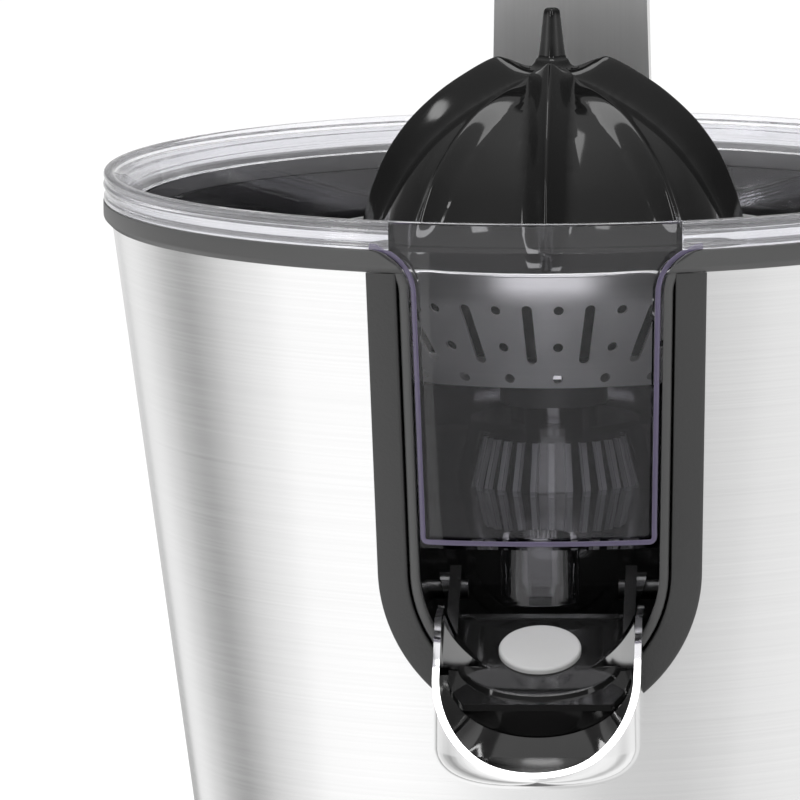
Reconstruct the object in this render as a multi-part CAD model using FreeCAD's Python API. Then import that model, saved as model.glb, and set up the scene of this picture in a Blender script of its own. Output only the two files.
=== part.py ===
import FreeCAD, Part

import math
import os

# Citrus press juicer.  Millimetres, +Z up, front of the machine towards -Y.
# Origin: on the table plane, straight below the axis of the reamer.

VEC = FreeCAD.Vector
UP = VEC(0, 0, 1)
RIGHT = VEC(1, 0, 0)
BACK = VEC(0, 1, 0)
CENTRE = VEC(0, 0, 0)

# ---- conical body -----------------------------------------------------------
RIM_Z = 240.0           # top of the clear bowl's rim
BODY_R = 94.6           # body cone's radius, produced up to the rim
RIM_OUT = 0.4           # the bowl's rim stands this far out over that cone
RIM_R = BODY_R + RIM_OUT
TAPER = 0.129           # growth of the body's radius per millimetre of height
SHELL_WALL = 0.8
SHELL_LOW_Z = 12.0
RIM_DEPTH = 6.0         # height of the clear rim above the black ring
RING_DEPTH = 4.8        # height of the black ring
RING_CHAMFER = 1.6
LIP_PROUD = 0.3         # the ring's lip stands this far off the body
FRAME_PROUD = 0.6       # and the frame this far
PLASTIC_WALL = 2.0
LIFT_CLEARANCE = 0.4    # between the lift-out bowl and what it drops into
FACE_GAP = 0.3          # between a fixed piece and a curved neighbour

# ---- feet and base ----------------------------------------------------------
FOOT_R = 8.0
FOOT_H = 4.0
FOOT_SEAT = 1.6         # rubber left under the screw's head
BASE_H = 8.0
FOOT_SHARES = [(-0.58, -0.55), (0.58, -0.55), (-0.565, 0.645), (0.565, 0.645)]   # of the base's radius
TONGUE_FOOT_X = 13.0    # the two feet under the column's tongue: half their spacing
TONGUE_FOOT_IN = 12.64  # and their distance in from its back end
SCREW_R = 1.5

# ---- front arch -------------------------------------------------------------
ARCH_HALF = 34.9        # half width of the frame at the ring
ARCH_SLOPE = 0.024      # narrowing of that half width per millimetre downwards
ARCH_DEPTH = 107.0      # lowest point of the frame, below the rim
BAND_WIDTH = 6.3        # the textured band
GROOVE = 0.5            # shadow line between band and lip
LIP_WIDTH = 1.9         # lip of the ring, inside the band
FLARE_R = 9.0           # round corners at the top of the opening
OPENING_INSET = BAND_WIDTH + GROOVE + LIP_WIDTH
RECESS_BACK_Y = 48.6 - BODY_R   # back wall of the spout's pocket

# ---- juice bowl -------------------------------------------------------------
BOWL_DEPTH = 68.5
BOWL_FLOOR_Z = RIM_Z - BOWL_DEPTH
BOWL_WALL = 2.0
BOWL_TOP_R = BODY_R - 5.1
BOWL_LOW_R = BOWL_TOP_R - 7.6
CHIMNEY_R = (19.2, 15.8)
CHIMNEY_SHOULDER_Z = BOWL_FLOOR_Z + 13.1
CHIMNEY_TOP_Z = BOWL_FLOOR_Z + 24.5
CHIMNEY_BORE_R = 7.5
CHIMNEY_NECK_R = 9.3
NOZZLE_R = 8.1
NOZZLE_BORE_R = 6.3
NOZZLE_Y = 18.1 - BODY_R
NOZZLE_TIP_Z = BOWL_FLOOR_Z - 12.0
NOZZLE_STEP = 1.5

# ---- liner and drive boss ---------------------------------------------------
DECK_Z = BOWL_FLOOR_Z - 1.5
DECK_WALL = 2.5
BOSS_R = (17.0, 13.9)
BOSS_TOP_Z = DECK_Z + 13.0
BOSS_SLEEVE_R = 6.0
BOSS_SLEEVE_TOP_Z = BOSS_TOP_Z + 11.0
RIB_COUNT = 28
RIB_WIDTH = 1.3
RIB_PROUD = 1.0
ENGRAVING_R = (19.0, 16.0)
ENGRAVING_WIDTH = 0.6
ENGRAVING_DEPTH = 0.4

# ---- strainer ---------------------------------------------------------------
COLLAR_FLANGE_R = 14.0
COLLAR_FLANGE_H = 2.0
COLLAR_NECK_R = 9.9
COLLAR_SKIRT_H = 6.0
STRAINER_WALL = 0.8
STRAINER_FLOOR_Z = CHIMNEY_TOP_Z + COLLAR_FLANGE_H
STRAINER_PROFILE = [(37.0, 0.0), (40.4, 5.0), (52.5, 20.6), (55.0, 26.4)]   # radius, height over its floor
STRAINER_SLOTS = 24
SLOT_WIDTH = 2.2
HOLE_R = 1.05
HOLE_HEIGHTS = (2.2, 9.5, 18.2)         # over the strainer's floor
SLOT_HEIGHTS = (5.7, 19.4)              # ends of the slots, over its floor
STRAINER_TURN = 86.0    # turn of the first slot from +X, degrees
FLOOR_SLOT = (24.0, 33.0)

# ---- drive ------------------------------------------------------------------
SHAFT_R = 3.0
RUNNING_FIT = 0.05
SHAFT_HEX_AF = 5.2
HEX_CLEARANCE = 0.35
SHAFT_TOP_Z = STRAINER_FLOOR_Z + 8.0
DRIVE_BUSH_R = 6.5
DRIVE_BUSH_FLANGE_R = 8.6
DRIVE_BUSH_HEX_AF = 11.0
DRIVE_BUSH_TOP_Z = STRAINER_FLOOR_Z + 11.0
BUSH_WALL = 1.6

# ---- gear train -------------------------------------------------------------
PRESSURE_ANGLE = math.radians(20)
OUT_TEETH = 56
IDLER_PINION_TEETH = 14
OUT_MODULE = 1.0
IDLER_TEETH = 54
MOTOR_TEETH = 12
MOTOR_MODULE = 0.8
OUT_ADDENDUM = 0.8
MOTOR_ADDENDUM = 0.7
DEDENDUM = 1.15
TOOTH_PLAY = 0.13
GEAR_W = 6.0
PINION_EXTRA = 1.0
GEAR_LEVEL_GAP = 4.0
GEAR_LOW_Z = DECK_Z - 28.0
IDLER_ANGLE = math.radians(45)
AXLE_R = 2.5
COVER_ROOM = (41.0, 39.0)               # inner half widths of the gearbox cover
COVER_PLACE = (11.5, 8.0)               # its middle in x and y

# ---- motor ------------------------------------------------------------------
MOTOR_TOP_Z = GEAR_LOW_Z - 14.0
MOTOR_LOW_Z = MOTOR_TOP_Z - 62.0
STACK_LOW_Z = MOTOR_LOW_Z + 16.0
STACK_H = 32.0
STACK_X = 29.0
STACK_Y = 24.0
AIR_GAP = 0.6
ROTOR_R = 14.5
MOTOR_SHAFT_R = 2.5
COMMUTATOR_R = 8.0

# ---- reamer -----------------------------------------------------------------
REAMER_R = 41.0
REAMER_LOW_Z = STRAINER_FLOOR_Z + 20.0
REAMER_WIDE_Z = REAMER_LOW_Z + 3.0
REAMER_DOME_TOP_Z = REAMER_LOW_Z + 46.0
REAMER_TIP_Z = REAMER_DOME_TOP_Z + 9.6
FIN_HEIGHT = 5.5
FIN_WIDTH = 4.0
SKIRT_R = 35.5
SKIRT_LOW_Z = REAMER_LOW_Z - 14.0
REAMER_WALL = 2.2
HORN_R = 12.0
SPIKE_HALF = (1.7, 3.2)
SPIKE_LOW_Z = REAMER_DOME_TOP_Z - 1.5

# ---- spout ------------------------------------------------------------------
SPOUT_PIVOT_Y = 34.6 - BODY_R
SPOUT_PIVOT_Z = BOWL_FLOOR_Z - 12.3
SPOUT_TILT = 23.6
SPOUT_SIDE_ROOM = 4.9   # between the scoop's side and the opening's widest place
SPOUT_HALF = ARCH_HALF - OPENING_INSET - SPOUT_SIDE_ROOM
SPOUT_NOSE_Y = -3.6 - BODY_R
SPOUT_LOW_Z = SPOUT_PIVOT_Z - 32.7
SPOUT_WALL = 1.4
SPOUT_EDGE_R = 7.0
SPOUT_CORNER = (8.1 - BODY_R, SPOUT_PIVOT_Z - 1.7)
SPOUT_LIP_Z = SPOUT_LOW_Z + 2.6
SPOUT_PIN_R = 2.0
PAD_R = 8.5
PAD_H = 2.2
PAD_FROM_PIVOT = 21.8
PAD_STEM_R = 1.9
SPOUT_GAP = 1.2         # between the scoop and the arch or the body
SPOUT_BOSS_HALF = SPOUT_HALF + 1.3
TRAY_PLATE = 1.6
TRAY_FRONT = 40.0

# ---- column, arm and press cup ----------------------------------------------
COLUMN_HALF = 17.3      # half width where the column passes the rim
COLUMN_SLOPE = 0.023
COLUMN_EDGE_R = 6.0
COLUMN_DEPTH = 26.0     # how far the column stands out behind the body
COLUMN_TOP_Z = RIM_Z + 28.0
COLUMN_SHEET = 1.0
PIVOT_Y = BODY_R + 17.4
PIVOT_Z = COLUMN_TOP_Z + 10.0
PIVOT_PIN_R = 4.0
SPRING_ROOM_R = 7.0
SPRING_WIRE_R = 0.6
SPRING_TURNS = 3.5
SPRING_PITCH = 1.5
SPRING_SIDES = 12       # flats of the drawn wire's section
KNUCKLE_R = 11.0
KNUCKLE_HALF = 10.0
EAR_W = 5.0
EAR_R = 10.0
CAM_R = 12.6            # cam radius at rest, under the pivot
CAM_RISE = 1.2          # growth of the cam's radius over the whole swing
CAM_HALF = 2.0
SWITCH_HALF = (8.0, 4.0)
SWITCH_Z = (COLUMN_TOP_Z - 15.0, COLUMN_TOP_Z - 6.0)
PLUNGER_R = 1.5
GLAND_R = 7.5
GLAND_Z = 28.0
ARM_RAISED = 78.0       # swing from pressed to raised, degrees
ARM_SLOPE = 10.0        # slope of the arm when it is pressed down
ARM_HALF = 15.0
ARM_H = 14.0
ARM_SHEET = 1.5
ARM_LEN = PIVOT_Y + 93.0
ARM_LIFT = 4.0
COVER_PLATE = 2.0
GRIP_LEN = 62.0
CUP_R = 53.0
CUP_WALL = 2.5
CUP_OPEN_BELOW_RIM = 5.0
CUP_TOP_ABOVE_RIM = 44.5
INSERT_RIBS = 8

os.makedirs("parts", exist_ok=True)


# ============================================================================
# Shapes that the pieces share
# ============================================================================

def save(name, shape):
    """Write one node."""
    if shape.Volume <= 0:
        raise ValueError(name + " has no volume")
    shape.exportStep("parts/" + name + ".step")


def point(r, z):
    """A point of a turned profile."""
    return VEC(r, 0, z)


def turned(profile):
    """The solid that a closed outline of (radius, height) sweeps round the Z axis."""
    wire = Part.makePolygon([point(r, z) for r, z in profile + profile[:1]])
    return Part.Face(wire).revolve(CENTRE, UP, 360)


def cylinder(radius, low, high, x=0.0, y=0.0):
    return Part.makeCylinder(radius, high - low, VEC(x, y, low))


def tube(outer, inner, low, high, x=0.0, y=0.0):
    return cylinder(outer, low, high, x, y).cut(cylinder(inner, low - 1, high + 1, x, y))


def rod_x(radius, half, y, z):
    """A rod along X, as long each side of the middle."""
    return Part.makeCylinder(radius, 2 * half, VEC(-half, y, z), RIGHT)


def block(x, y, z):
    """A box from its three spans."""
    return Part.makeBox(x[1] - x[0], y[1] - y[0], z[1] - z[0], VEC(x[0], y[0], z[0]))


def round_block(half_x, half_y, radius, low, high, x=0.0, y=0.0):
    """An upright box with round vertical edges."""
    solid = block((x - half_x, x + half_x), (y - half_y, y + half_y), (low, high))
    upright = [e for e in solid.Edges if abs(e.tangentAt(e.FirstParameter).z) > 0.9]
    return solid.makeFillet(radius, upright)


def side_plate(outline, half):
    """An outline of (y, z) points made into a plate of the given half width."""
    wire = Part.makePolygon([VEC(-half, y, z) for y, z in outline + outline[:1]])
    return Part.Face(wire).extrude(VEC(2 * half, 0, 0))


def hexagon(across_flats, low, high):
    corner = across_flats / math.sqrt(3)
    points = [VEC(corner * math.cos(math.radians(60 * i)), corner * math.sin(math.radians(60 * i)), low)
              for i in range(7)]
    return Part.Face(Part.makePolygon(points)).extrude(UP * (high - low))


def turned_copies(solid, count, start=0.0):
    """Copies of a solid spaced evenly round the Z axis."""
    copies = []
    for i in range(count):
        copy = solid.copy()
        copy.rotate(CENTRE, UP, start + 360.0 * i / count)
        copies.append(copy)
    return copies


def radial_fin(outline, half, turn):
    """A plate standing on the Z axis with the given (radius, height) outline, turned to its place."""
    wire = Part.makePolygon([VEC(r, -half, z) for r, z in outline + outline[:1]])
    fin = Part.Face(wire).extrude(VEC(0, 2 * half, 0))
    fin.rotate(CENTRE, UP, turn)
    return fin


def screw(radius, length, x, y, z, head_down=True):
    """A pan-head screw; z is the face that its head bears on."""
    head_h = radius * 1.1
    if head_down:
        shank = cylinder(radius, z, z + length, x, y)
        head = cylinder(radius * 1.9, z - head_h, z, x, y)
        slot = cylinder(radius * 0.7, z - head_h - 1, z - head_h * 0.5, x, y)
    else:
        shank = cylinder(radius, z - length, z, x, y)
        head = cylinder(radius * 1.9, z, z + head_h, x, y)
        slot = cylinder(radius * 0.7, z + head_h * 0.5, z + head_h + 1, x, y)
    return shank.fuse(head).cut(slot)


def body_r(z):
    """Outer radius of the conical body."""
    return BODY_R + TAPER * (z - RIM_Z)


def cone_layer(proud, inner, low, high):
    """A conical layer: from a little outside the body's surface in to a turned inner radius."""
    outline = [(inner(low), low), (body_r(low) + proud, low),
               (body_r(high) + proud, high), (inner(high), high)]
    return turned(outline)


RING_TOP_Z = RIM_Z - RIM_DEPTH
RING_LOW_Z = RING_TOP_Z - RING_DEPTH
ARCH_LOW_Z = RIM_Z - ARCH_DEPTH
ARCH_CENTRE_Z = (ARCH_LOW_Z + ARCH_HALF - ARCH_SLOPE * RING_LOW_Z) / (1 - ARCH_SLOPE)


def bowl_r(z):
    """Outer radius of the bowl's wall."""
    return BOWL_LOW_R + (BOWL_TOP_R - BOWL_LOW_R) * (z - BOWL_FLOOR_Z) / (RING_TOP_Z - BOWL_FLOOR_Z)


def liner_r(z):
    """Inner radius of the liner, which the bowl drops into."""
    return bowl_r(z) + LIFT_CLEARANCE


def arch_half(z, inset):
    """Half width of an arch outline at a height."""
    return ARCH_HALF - inset - ARCH_SLOPE * (RING_LOW_Z - z)


def arch_prism(inset, y_front, y_back, top, flare=0.0):
    """
    A prism along Y with the arch's outline: nearly upright sides, a half round lower end and,
    where flare is given, corners that swing outwards to the top.
    """
    low_half = arch_half(ARCH_CENTRE_Z, inset)
    flare_z = RING_TOP_Z - FLARE_R
    side_top = flare_z if flare else top
    top_half = arch_half(side_top, inset)
    left_low = VEC(-low_half, y_front, ARCH_CENTRE_Z)
    right_low = VEC(low_half, y_front, ARCH_CENTRE_Z)
    bottom = VEC(0, y_front, ARCH_CENTRE_Z - low_half)
    left_top = VEC(-top_half, y_front, side_top)
    right_top = VEC(top_half, y_front, side_top)
    edges = [Part.Arc(left_low, bottom, right_low).toShape(), Part.makeLine(right_low, right_top)]
    last = right_top
    first = left_top
    if flare:
        lean = FLARE_R * (1 - math.sqrt(0.5))
        rise = FLARE_R * math.sqrt(0.5)
        right_mid = VEC(top_half + lean, y_front, side_top + rise)
        right_end = VEC(top_half + FLARE_R, y_front, side_top + FLARE_R)
        right_high = VEC(top_half + FLARE_R, y_front, top)
        left_mid = VEC(-top_half - lean, y_front, side_top + rise)
        left_end = VEC(-top_half - FLARE_R, y_front, side_top + FLARE_R)
        left_high = VEC(-top_half - FLARE_R, y_front, top)
        edges += [Part.Arc(right_top, right_mid, right_end).toShape(), Part.makeLine(right_end, right_high),
                  Part.makeLine(right_high, left_high), Part.makeLine(left_high, left_end),
                  Part.Arc(left_end, left_mid, left_top).toShape()]
    else:
        edges.append(Part.makeLine(last, first))
    edges.append(Part.makeLine(left_top, left_low))
    wire = Part.Wire(Part.__sortEdges__(edges))
    return Part.Face(wire).extrude(VEC(0, y_back - y_front, 0))


FAR_FRONT = -RIM_R - 30


# ============================================================================
# Base and body
# ============================================================================

BASE_LOW_Z = FOOT_H
BASE_TOP_Z = BASE_LOW_Z + BASE_H


def column_back(z):
    """Y of the column's back face, which leans out with the body."""
    return body_r(z) + COLUMN_DEPTH


def column_half(z):
    """Half width of the column, which narrows upwards."""
    return COLUMN_HALF + COLUMN_SLOPE * (RIM_Z - z)


FOOT_PLACES = [(x * body_r(BASE_TOP_Z), y * body_r(BASE_TOP_Z)) for x, y in FOOT_SHARES]
TONGUE_FEET = [(side * TONGUE_FOOT_X, column_back(0) - TONGUE_FOOT_IN) for side in (-1, 1)]


def base_plate():
    """Moulded base: a dish under the body with a tongue under the column."""
    rim = body_r(BASE_TOP_Z)
    dish = cylinder(rim, BASE_LOW_Z, BASE_TOP_Z)
    tongue = block((-column_half(0), column_half(0)), (0, column_back(0)), (BASE_LOW_Z, BASE_TOP_Z))
    solid = dish.fuse(tongue).removeSplitter()
    hollow = cylinder(rim - 4, BASE_LOW_Z + 3, BASE_TOP_Z + 1)
    solid = solid.cut(hollow)
    for x, y in FOOT_PLACES + TONGUE_FEET:
        solid = solid.fuse(cylinder(7, BASE_LOW_Z, BASE_TOP_Z, x, y))
        solid = solid.cut(cylinder(SCREW_R + 0.2, BASE_LOW_Z - 1, BASE_TOP_Z + 1, x, y))
    vents = [block((-12 + 8 * i, -8 + 8 * i), (-8, 24), (BASE_LOW_Z - 1, BASE_LOW_Z + 4)) for i in range(4)]
    return solid.cut(vents)


def rubber_feet():
    feet = []
    for x, y in FOOT_PLACES + TONGUE_FEET:
        foot = Part.makeCone(FOOT_R - 1, FOOT_R, FOOT_H, VEC(x, y, 0))
        foot = foot.cut(cylinder(4.2, -1, FOOT_H - FOOT_SEAT, x, y))
        feet.append(foot.cut(cylinder(SCREW_R + 0.2, -1, FOOT_H + 1, x, y)))
    return Part.makeCompound(feet)


def foot_screws():
    """One screw through each foot and the base's boss into a post of the frame."""
    length = BASE_H + 10
    return Part.makeCompound([screw(SCREW_R, length, x, y, FOOT_H - FOOT_SEAT) for x, y in FOOT_PLACES])


def frame_posts():
    """Four posts of the inner frame that stand on the base's bosses and carry the gear plate."""
    posts = []
    for x, y in FOOT_PLACES:
        post = cylinder(5, BASE_TOP_Z, GEAR_PLATE_Z[0], x, y)
        posts.append(post.cut(cylinder(SCREW_R, BASE_TOP_Z - 1, BASE_TOP_Z + 14, x, y)))
    return Part.makeCompound(posts)


def body_shell():
    """Rolled conical sheet with the arch cut out at the front and a slot behind for the column."""
    sheet = cone_layer(0, lambda z: body_r(z) - SHELL_WALL, SHELL_LOW_Z, RING_LOW_Z)
    sheet = sheet.cut(arch_prism(BAND_WIDTH / 2, FAR_FRONT, -20, RING_TOP_Z))
    return sheet


def top_ring():
    """Black ring under the bowl's rim, with a lip that lines the front opening."""
    outline = [(liner_r(RING_LOW_Z), RING_LOW_Z), (RIM_R - RING_CHAMFER, RING_LOW_Z),
               (RIM_R, RING_LOW_Z + RING_CHAMFER), (RIM_R, RING_TOP_Z), (liner_r(RING_TOP_Z), RING_TOP_Z)]
    ring = turned(outline)
    lip_low = ARCH_CENTRE_Z - arch_half(ARCH_CENTRE_Z, BAND_WIDTH + GROOVE) - 1
    lip = cone_layer(LIP_PROUD, lambda z: liner_out_r(z) + FACE_GAP, lip_low, RING_LOW_Z)
    lip = lip.common(arch_prism(BAND_WIDTH + GROOVE, FAR_FRONT, -20, RING_LOW_Z))
    solid = ring.fuse(lip)
    return solid.cut(arch_prism(OPENING_INSET, FAR_FRONT, -20, RIM_Z, FLARE_R)).removeSplitter()


def liner_out_r(z):
    return liner_r(z) + PLASTIC_WALL


def front_frame():
    """Textured band round the front opening, let into the body's cut-out."""
    low = ARCH_CENTRE_Z - arch_half(ARCH_CENTRE_Z, 0) - 1
    layer = cone_layer(FRAME_PROUD, lambda z: body_r(z) + 0.05, low, RING_LOW_Z)
    inner = cone_layer(FRAME_PROUD, lambda z: liner_out_r(z) + FACE_GAP, low, RING_LOW_Z)
    face = layer.common(arch_prism(0, FAR_FRONT, -20, RING_LOW_Z))
    root = inner.common(arch_prism(BAND_WIDTH / 2 + 0.2, FAR_FRONT, -20, RING_LOW_Z))
    solid = face.fuse(root)
    return solid.cut(arch_prism(BAND_WIDTH, FAR_FRONT, -20, RING_TOP_Z)).removeSplitter()


def bowl_liner():
    """Black basin that the bowl drops into; its deck carries the fluted drive boss."""
    low = DECK_Z - DECK_WALL
    bore = SHAFT_R + BUSH_WALL
    under_boss = BOSS_TOP_Z - DECK_WALL
    outline = [(bore, BOSS_SLEEVE_TOP_Z), (bore, under_boss), (BOSS_R[1] - 2.2, under_boss),
               (BOSS_R[0] - 2.2, low), (liner_out_r(low), low), (liner_out_r(RING_LOW_Z), RING_LOW_Z),
               (liner_r(RING_LOW_Z), RING_LOW_Z), (liner_r(DECK_Z), DECK_Z), (BOSS_R[0], DECK_Z),
               (BOSS_R[1], BOSS_TOP_Z), (BOSS_SLEEVE_R, BOSS_TOP_Z), (BOSS_SLEEVE_R, BOSS_SLEEVE_TOP_Z)]
    basin = turned(outline)
    basin = basin.cut(arch_prism(OPENING_INSET, FAR_FRONT, RECESS_BACK_Y, RIM_Z, FLARE_R))
    rib_outline = [(BOSS_R[0] - 1, DECK_Z), (BOSS_R[0] + RIB_PROUD, DECK_Z),
                   (BOSS_R[1] + RIB_PROUD, BOSS_TOP_Z), (BOSS_R[1] - 1, BOSS_TOP_Z)]
    wire = Part.makePolygon([VEC(r, -RIB_WIDTH / 2, z) for r, z in rib_outline + rib_outline[:1]])
    rib = Part.Face(wire).extrude(VEC(0, RIB_WIDTH, 0))
    return basin.fuse(turned_copies(rib, RIB_COUNT)).removeSplitter()


def spout_recess():
    """Dark pocket behind the spout: an arched tunnel with a closed back and ears for the spout's pins."""
    low = ARCH_CENTRE_Z - ARCH_HALF
    top = DECK_Z - DECK_WALL
    outer = arch_prism(OPENING_INSET - PLASTIC_WALL, FAR_FRONT, RECESS_BACK_Y + PLASTIC_WALL, RIM_Z)
    hollow = arch_prism(OPENING_INSET, FAR_FRONT - 1, RECESS_BACK_Y, RIM_Z)
    inside = cone_layer(-SHELL_WALL - 3.6, lambda z: 1.0, low - 1, top)
    pocket = outer.cut(hollow).common(inside)
    centre = VEC(0, RECESS_BACK_Y, ARCH_CENTRE_Z)
    for radius in ENGRAVING_R:
        ring = Part.makeCylinder(radius, ENGRAVING_DEPTH, centre, BACK)
        core = Part.makeCylinder(radius - ENGRAVING_WIDTH, ENGRAVING_DEPTH, centre, BACK)
        pocket = pocket.cut(ring.cut(core))
    bores = rod_x(SPOUT_PIN_R, ARCH_HALF, SPOUT_PIVOT_Y, SPOUT_PIVOT_Z)
    return pocket.cut(bores)


# ============================================================================
# Juice bowl
# ============================================================================

def window_prism(inset, floor_z, top):
    """The bowl's front box: the opening's outline, less clearance, cut off square at the floor."""
    prism = arch_prism(OPENING_INSET + LIFT_CLEARANCE + inset, FAR_FRONT, 0, top, FLARE_R)
    return prism.common(block((-RIM_R, RIM_R), (FAR_FRONT, 0), (floor_z, top)))


def juice_bowl():
    """Clear moulded bowl: basin, flanged rim, front window box, chimney for the drive and a nozzle."""
    z0 = BOWL_FLOOR_Z
    basin = turned([(0.0, z0), (BOWL_LOW_R, z0), (BOWL_TOP_R, RING_TOP_Z), (RIM_R, RING_TOP_Z),
                    (RIM_R, RIM_Z), (0.0, RIM_Z)])
    core = cone_layer(0, lambda z: 1.0, z0, RIM_Z)
    basin = basin.fuse(core.common(window_prism(0, z0, RIM_Z)))
    inner_low = z0 + BOWL_WALL
    hollow = turned([(0.0, inner_low), (bowl_r(inner_low) - BOWL_WALL, inner_low),
                     (BOWL_TOP_R - BOWL_WALL, RING_TOP_Z - 1), (RIM_R - BOWL_WALL, RIM_Z), (0.0, RIM_Z)])
    window_core = cone_layer(-BOWL_WALL, lambda z: 1.0, inner_low, RIM_Z)
    hollow = hollow.fuse(window_core.common(window_prism(BOWL_WALL, inner_low, RIM_Z)))
    bowl = basin.cut(hollow)
    shoulder = CHIMNEY_SHOULDER_Z + BOWL_WALL
    chimney_out = turned([(0.0, z0), (CHIMNEY_R[0] + BOWL_WALL, z0), (CHIMNEY_R[1] + BOWL_WALL, shoulder),
                          (CHIMNEY_NECK_R, shoulder), (CHIMNEY_NECK_R, CHIMNEY_TOP_Z),
                          (0.0, CHIMNEY_TOP_Z)])
    chimney_in = turned([(0.0, z0 - 1), (CHIMNEY_R[0], z0 - 1), (CHIMNEY_R[1], CHIMNEY_SHOULDER_Z),
                         (CHIMNEY_BORE_R, CHIMNEY_SHOULDER_Z), (CHIMNEY_BORE_R, CHIMNEY_TOP_Z + 1),
                         (0.0, CHIMNEY_TOP_Z + 1)])
    bowl = bowl.fuse(chimney_out).cut(chimney_in)
    step_z = NOZZLE_TIP_Z + NOZZLE_STEP
    nozzle = cylinder(NOZZLE_R, step_z, z0 + BOWL_WALL, 0, NOZZLE_Y)
    nozzle = nozzle.fuse(cylinder(NOZZLE_R - 0.7, NOZZLE_TIP_Z, step_z, 0, NOZZLE_Y))
    bore = cylinder(NOZZLE_BORE_R, NOZZLE_TIP_Z - 1, z0 + BOWL_WALL + 1, 0, NOZZLE_Y)
    return bowl.fuse(nozzle).cut(bore).removeSplitter()


# ============================================================================
# Strainer and reamer
# ============================================================================

def strainer():
    """Pressed steel basket: slots with rows of round holes between them, and slots in the floor's edge."""
    outer = [(r, STRAINER_FLOOR_Z + height) for r, height in STRAINER_PROFILE]
    inner = [(r - STRAINER_WALL, z + (STRAINER_WALL if i == 0 else 0)) for i, (r, z) in enumerate(outer)]
    floor_hole = COLLAR_NECK_R + 0.1
    outline = [(floor_hole, STRAINER_FLOOR_Z)] + outer + inner[::-1]
    outline.append((floor_hole, STRAINER_FLOOR_Z + STRAINER_WALL))
    sheet = turned(outline)
    end_r = SLOT_WIDTH / 2
    ends = [STRAINER_FLOOR_Z + SLOT_HEIGHTS[0] + end_r, STRAINER_FLOOR_Z + SLOT_HEIGHTS[1] - end_r]
    slot = block((36, 60), (-end_r, end_r), ends)
    slot = slot.fuse([Part.makeCylinder(end_r, 24, VEC(36, 0, z), RIGHT) for z in ends]).removeSplitter()
    cuts = turned_copies(slot, STRAINER_SLOTS, STRAINER_TURN)
    half_step = STRAINER_TURN + 180.0 / STRAINER_SLOTS
    for height in HOLE_HEIGHTS:
        hole = Part.makeCylinder(HOLE_R, 30, VEC(32, 0, STRAINER_FLOOR_Z + height), RIGHT)
        cuts += turned_copies(hole, STRAINER_SLOTS, half_step)
    edge_slot = block(FLOOR_SLOT, (-HOLE_R, HOLE_R), (STRAINER_FLOOR_Z - 1, STRAINER_FLOOR_Z + 2))
    cuts += turned_copies(edge_slot, STRAINER_SLOTS, half_step)
    return sheet.cut(cuts)


def strainer_collar():
    """Plastic collar in the middle of the strainer; it sits on the bowl's chimney."""
    z0 = CHIMNEY_TOP_Z
    bore = DRIVE_BUSH_R + RUNNING_FIT
    skirt_in = CHIMNEY_NECK_R + LIFT_CLEARANCE
    skirt_out = skirt_in + 1.8
    neck_top = STRAINER_FLOOR_Z + STRAINER_WALL + 0.4
    outline = [(bore, z0), (skirt_in, z0), (skirt_in, z0 - COLLAR_SKIRT_H),
               (skirt_out, z0 - COLLAR_SKIRT_H), (skirt_out, z0),
               (COLLAR_FLANGE_R, z0), (COLLAR_FLANGE_R, z0 + COLLAR_FLANGE_H),
               (COLLAR_NECK_R, z0 + COLLAR_FLANGE_H), (COLLAR_NECK_R, neck_top), (bore, neck_top)]
    return turned(outline)


BUSH_FLANGE_Z = STRAINER_FLOOR_Z + STRAINER_WALL + 0.4
CONE_SEAT_Z = BUSH_FLANGE_Z + 2.0


def drive_bush():
    """Bush that turns in the collar: hexagon socket for the spindle, hexagon on top for the cone."""
    barrel = cylinder(DRIVE_BUSH_R, CHIMNEY_TOP_Z + 0.4, BUSH_FLANGE_Z)
    flange = cylinder(DRIVE_BUSH_FLANGE_R, BUSH_FLANGE_Z, CONE_SEAT_Z)
    top = hexagon(DRIVE_BUSH_HEX_AF, CONE_SEAT_Z, DRIVE_BUSH_TOP_Z)
    socket = hexagon(SHAFT_HEX_AF + 2 * HEX_CLEARANCE, CHIMNEY_TOP_Z - 1, SHAFT_TOP_Z + 0.6)
    return barrel.fuse([flange, top]).cut(socket).removeSplitter()


def reamer_r(z):
    """Radius of the outer edge of the reamer's fins."""
    rise = max(0.0, (z - REAMER_WIDE_Z) / (REAMER_DOME_TOP_Z - REAMER_WIDE_Z))
    return REAMER_R * math.sqrt(max(0.0, 1 - rise ** 2))


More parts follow.
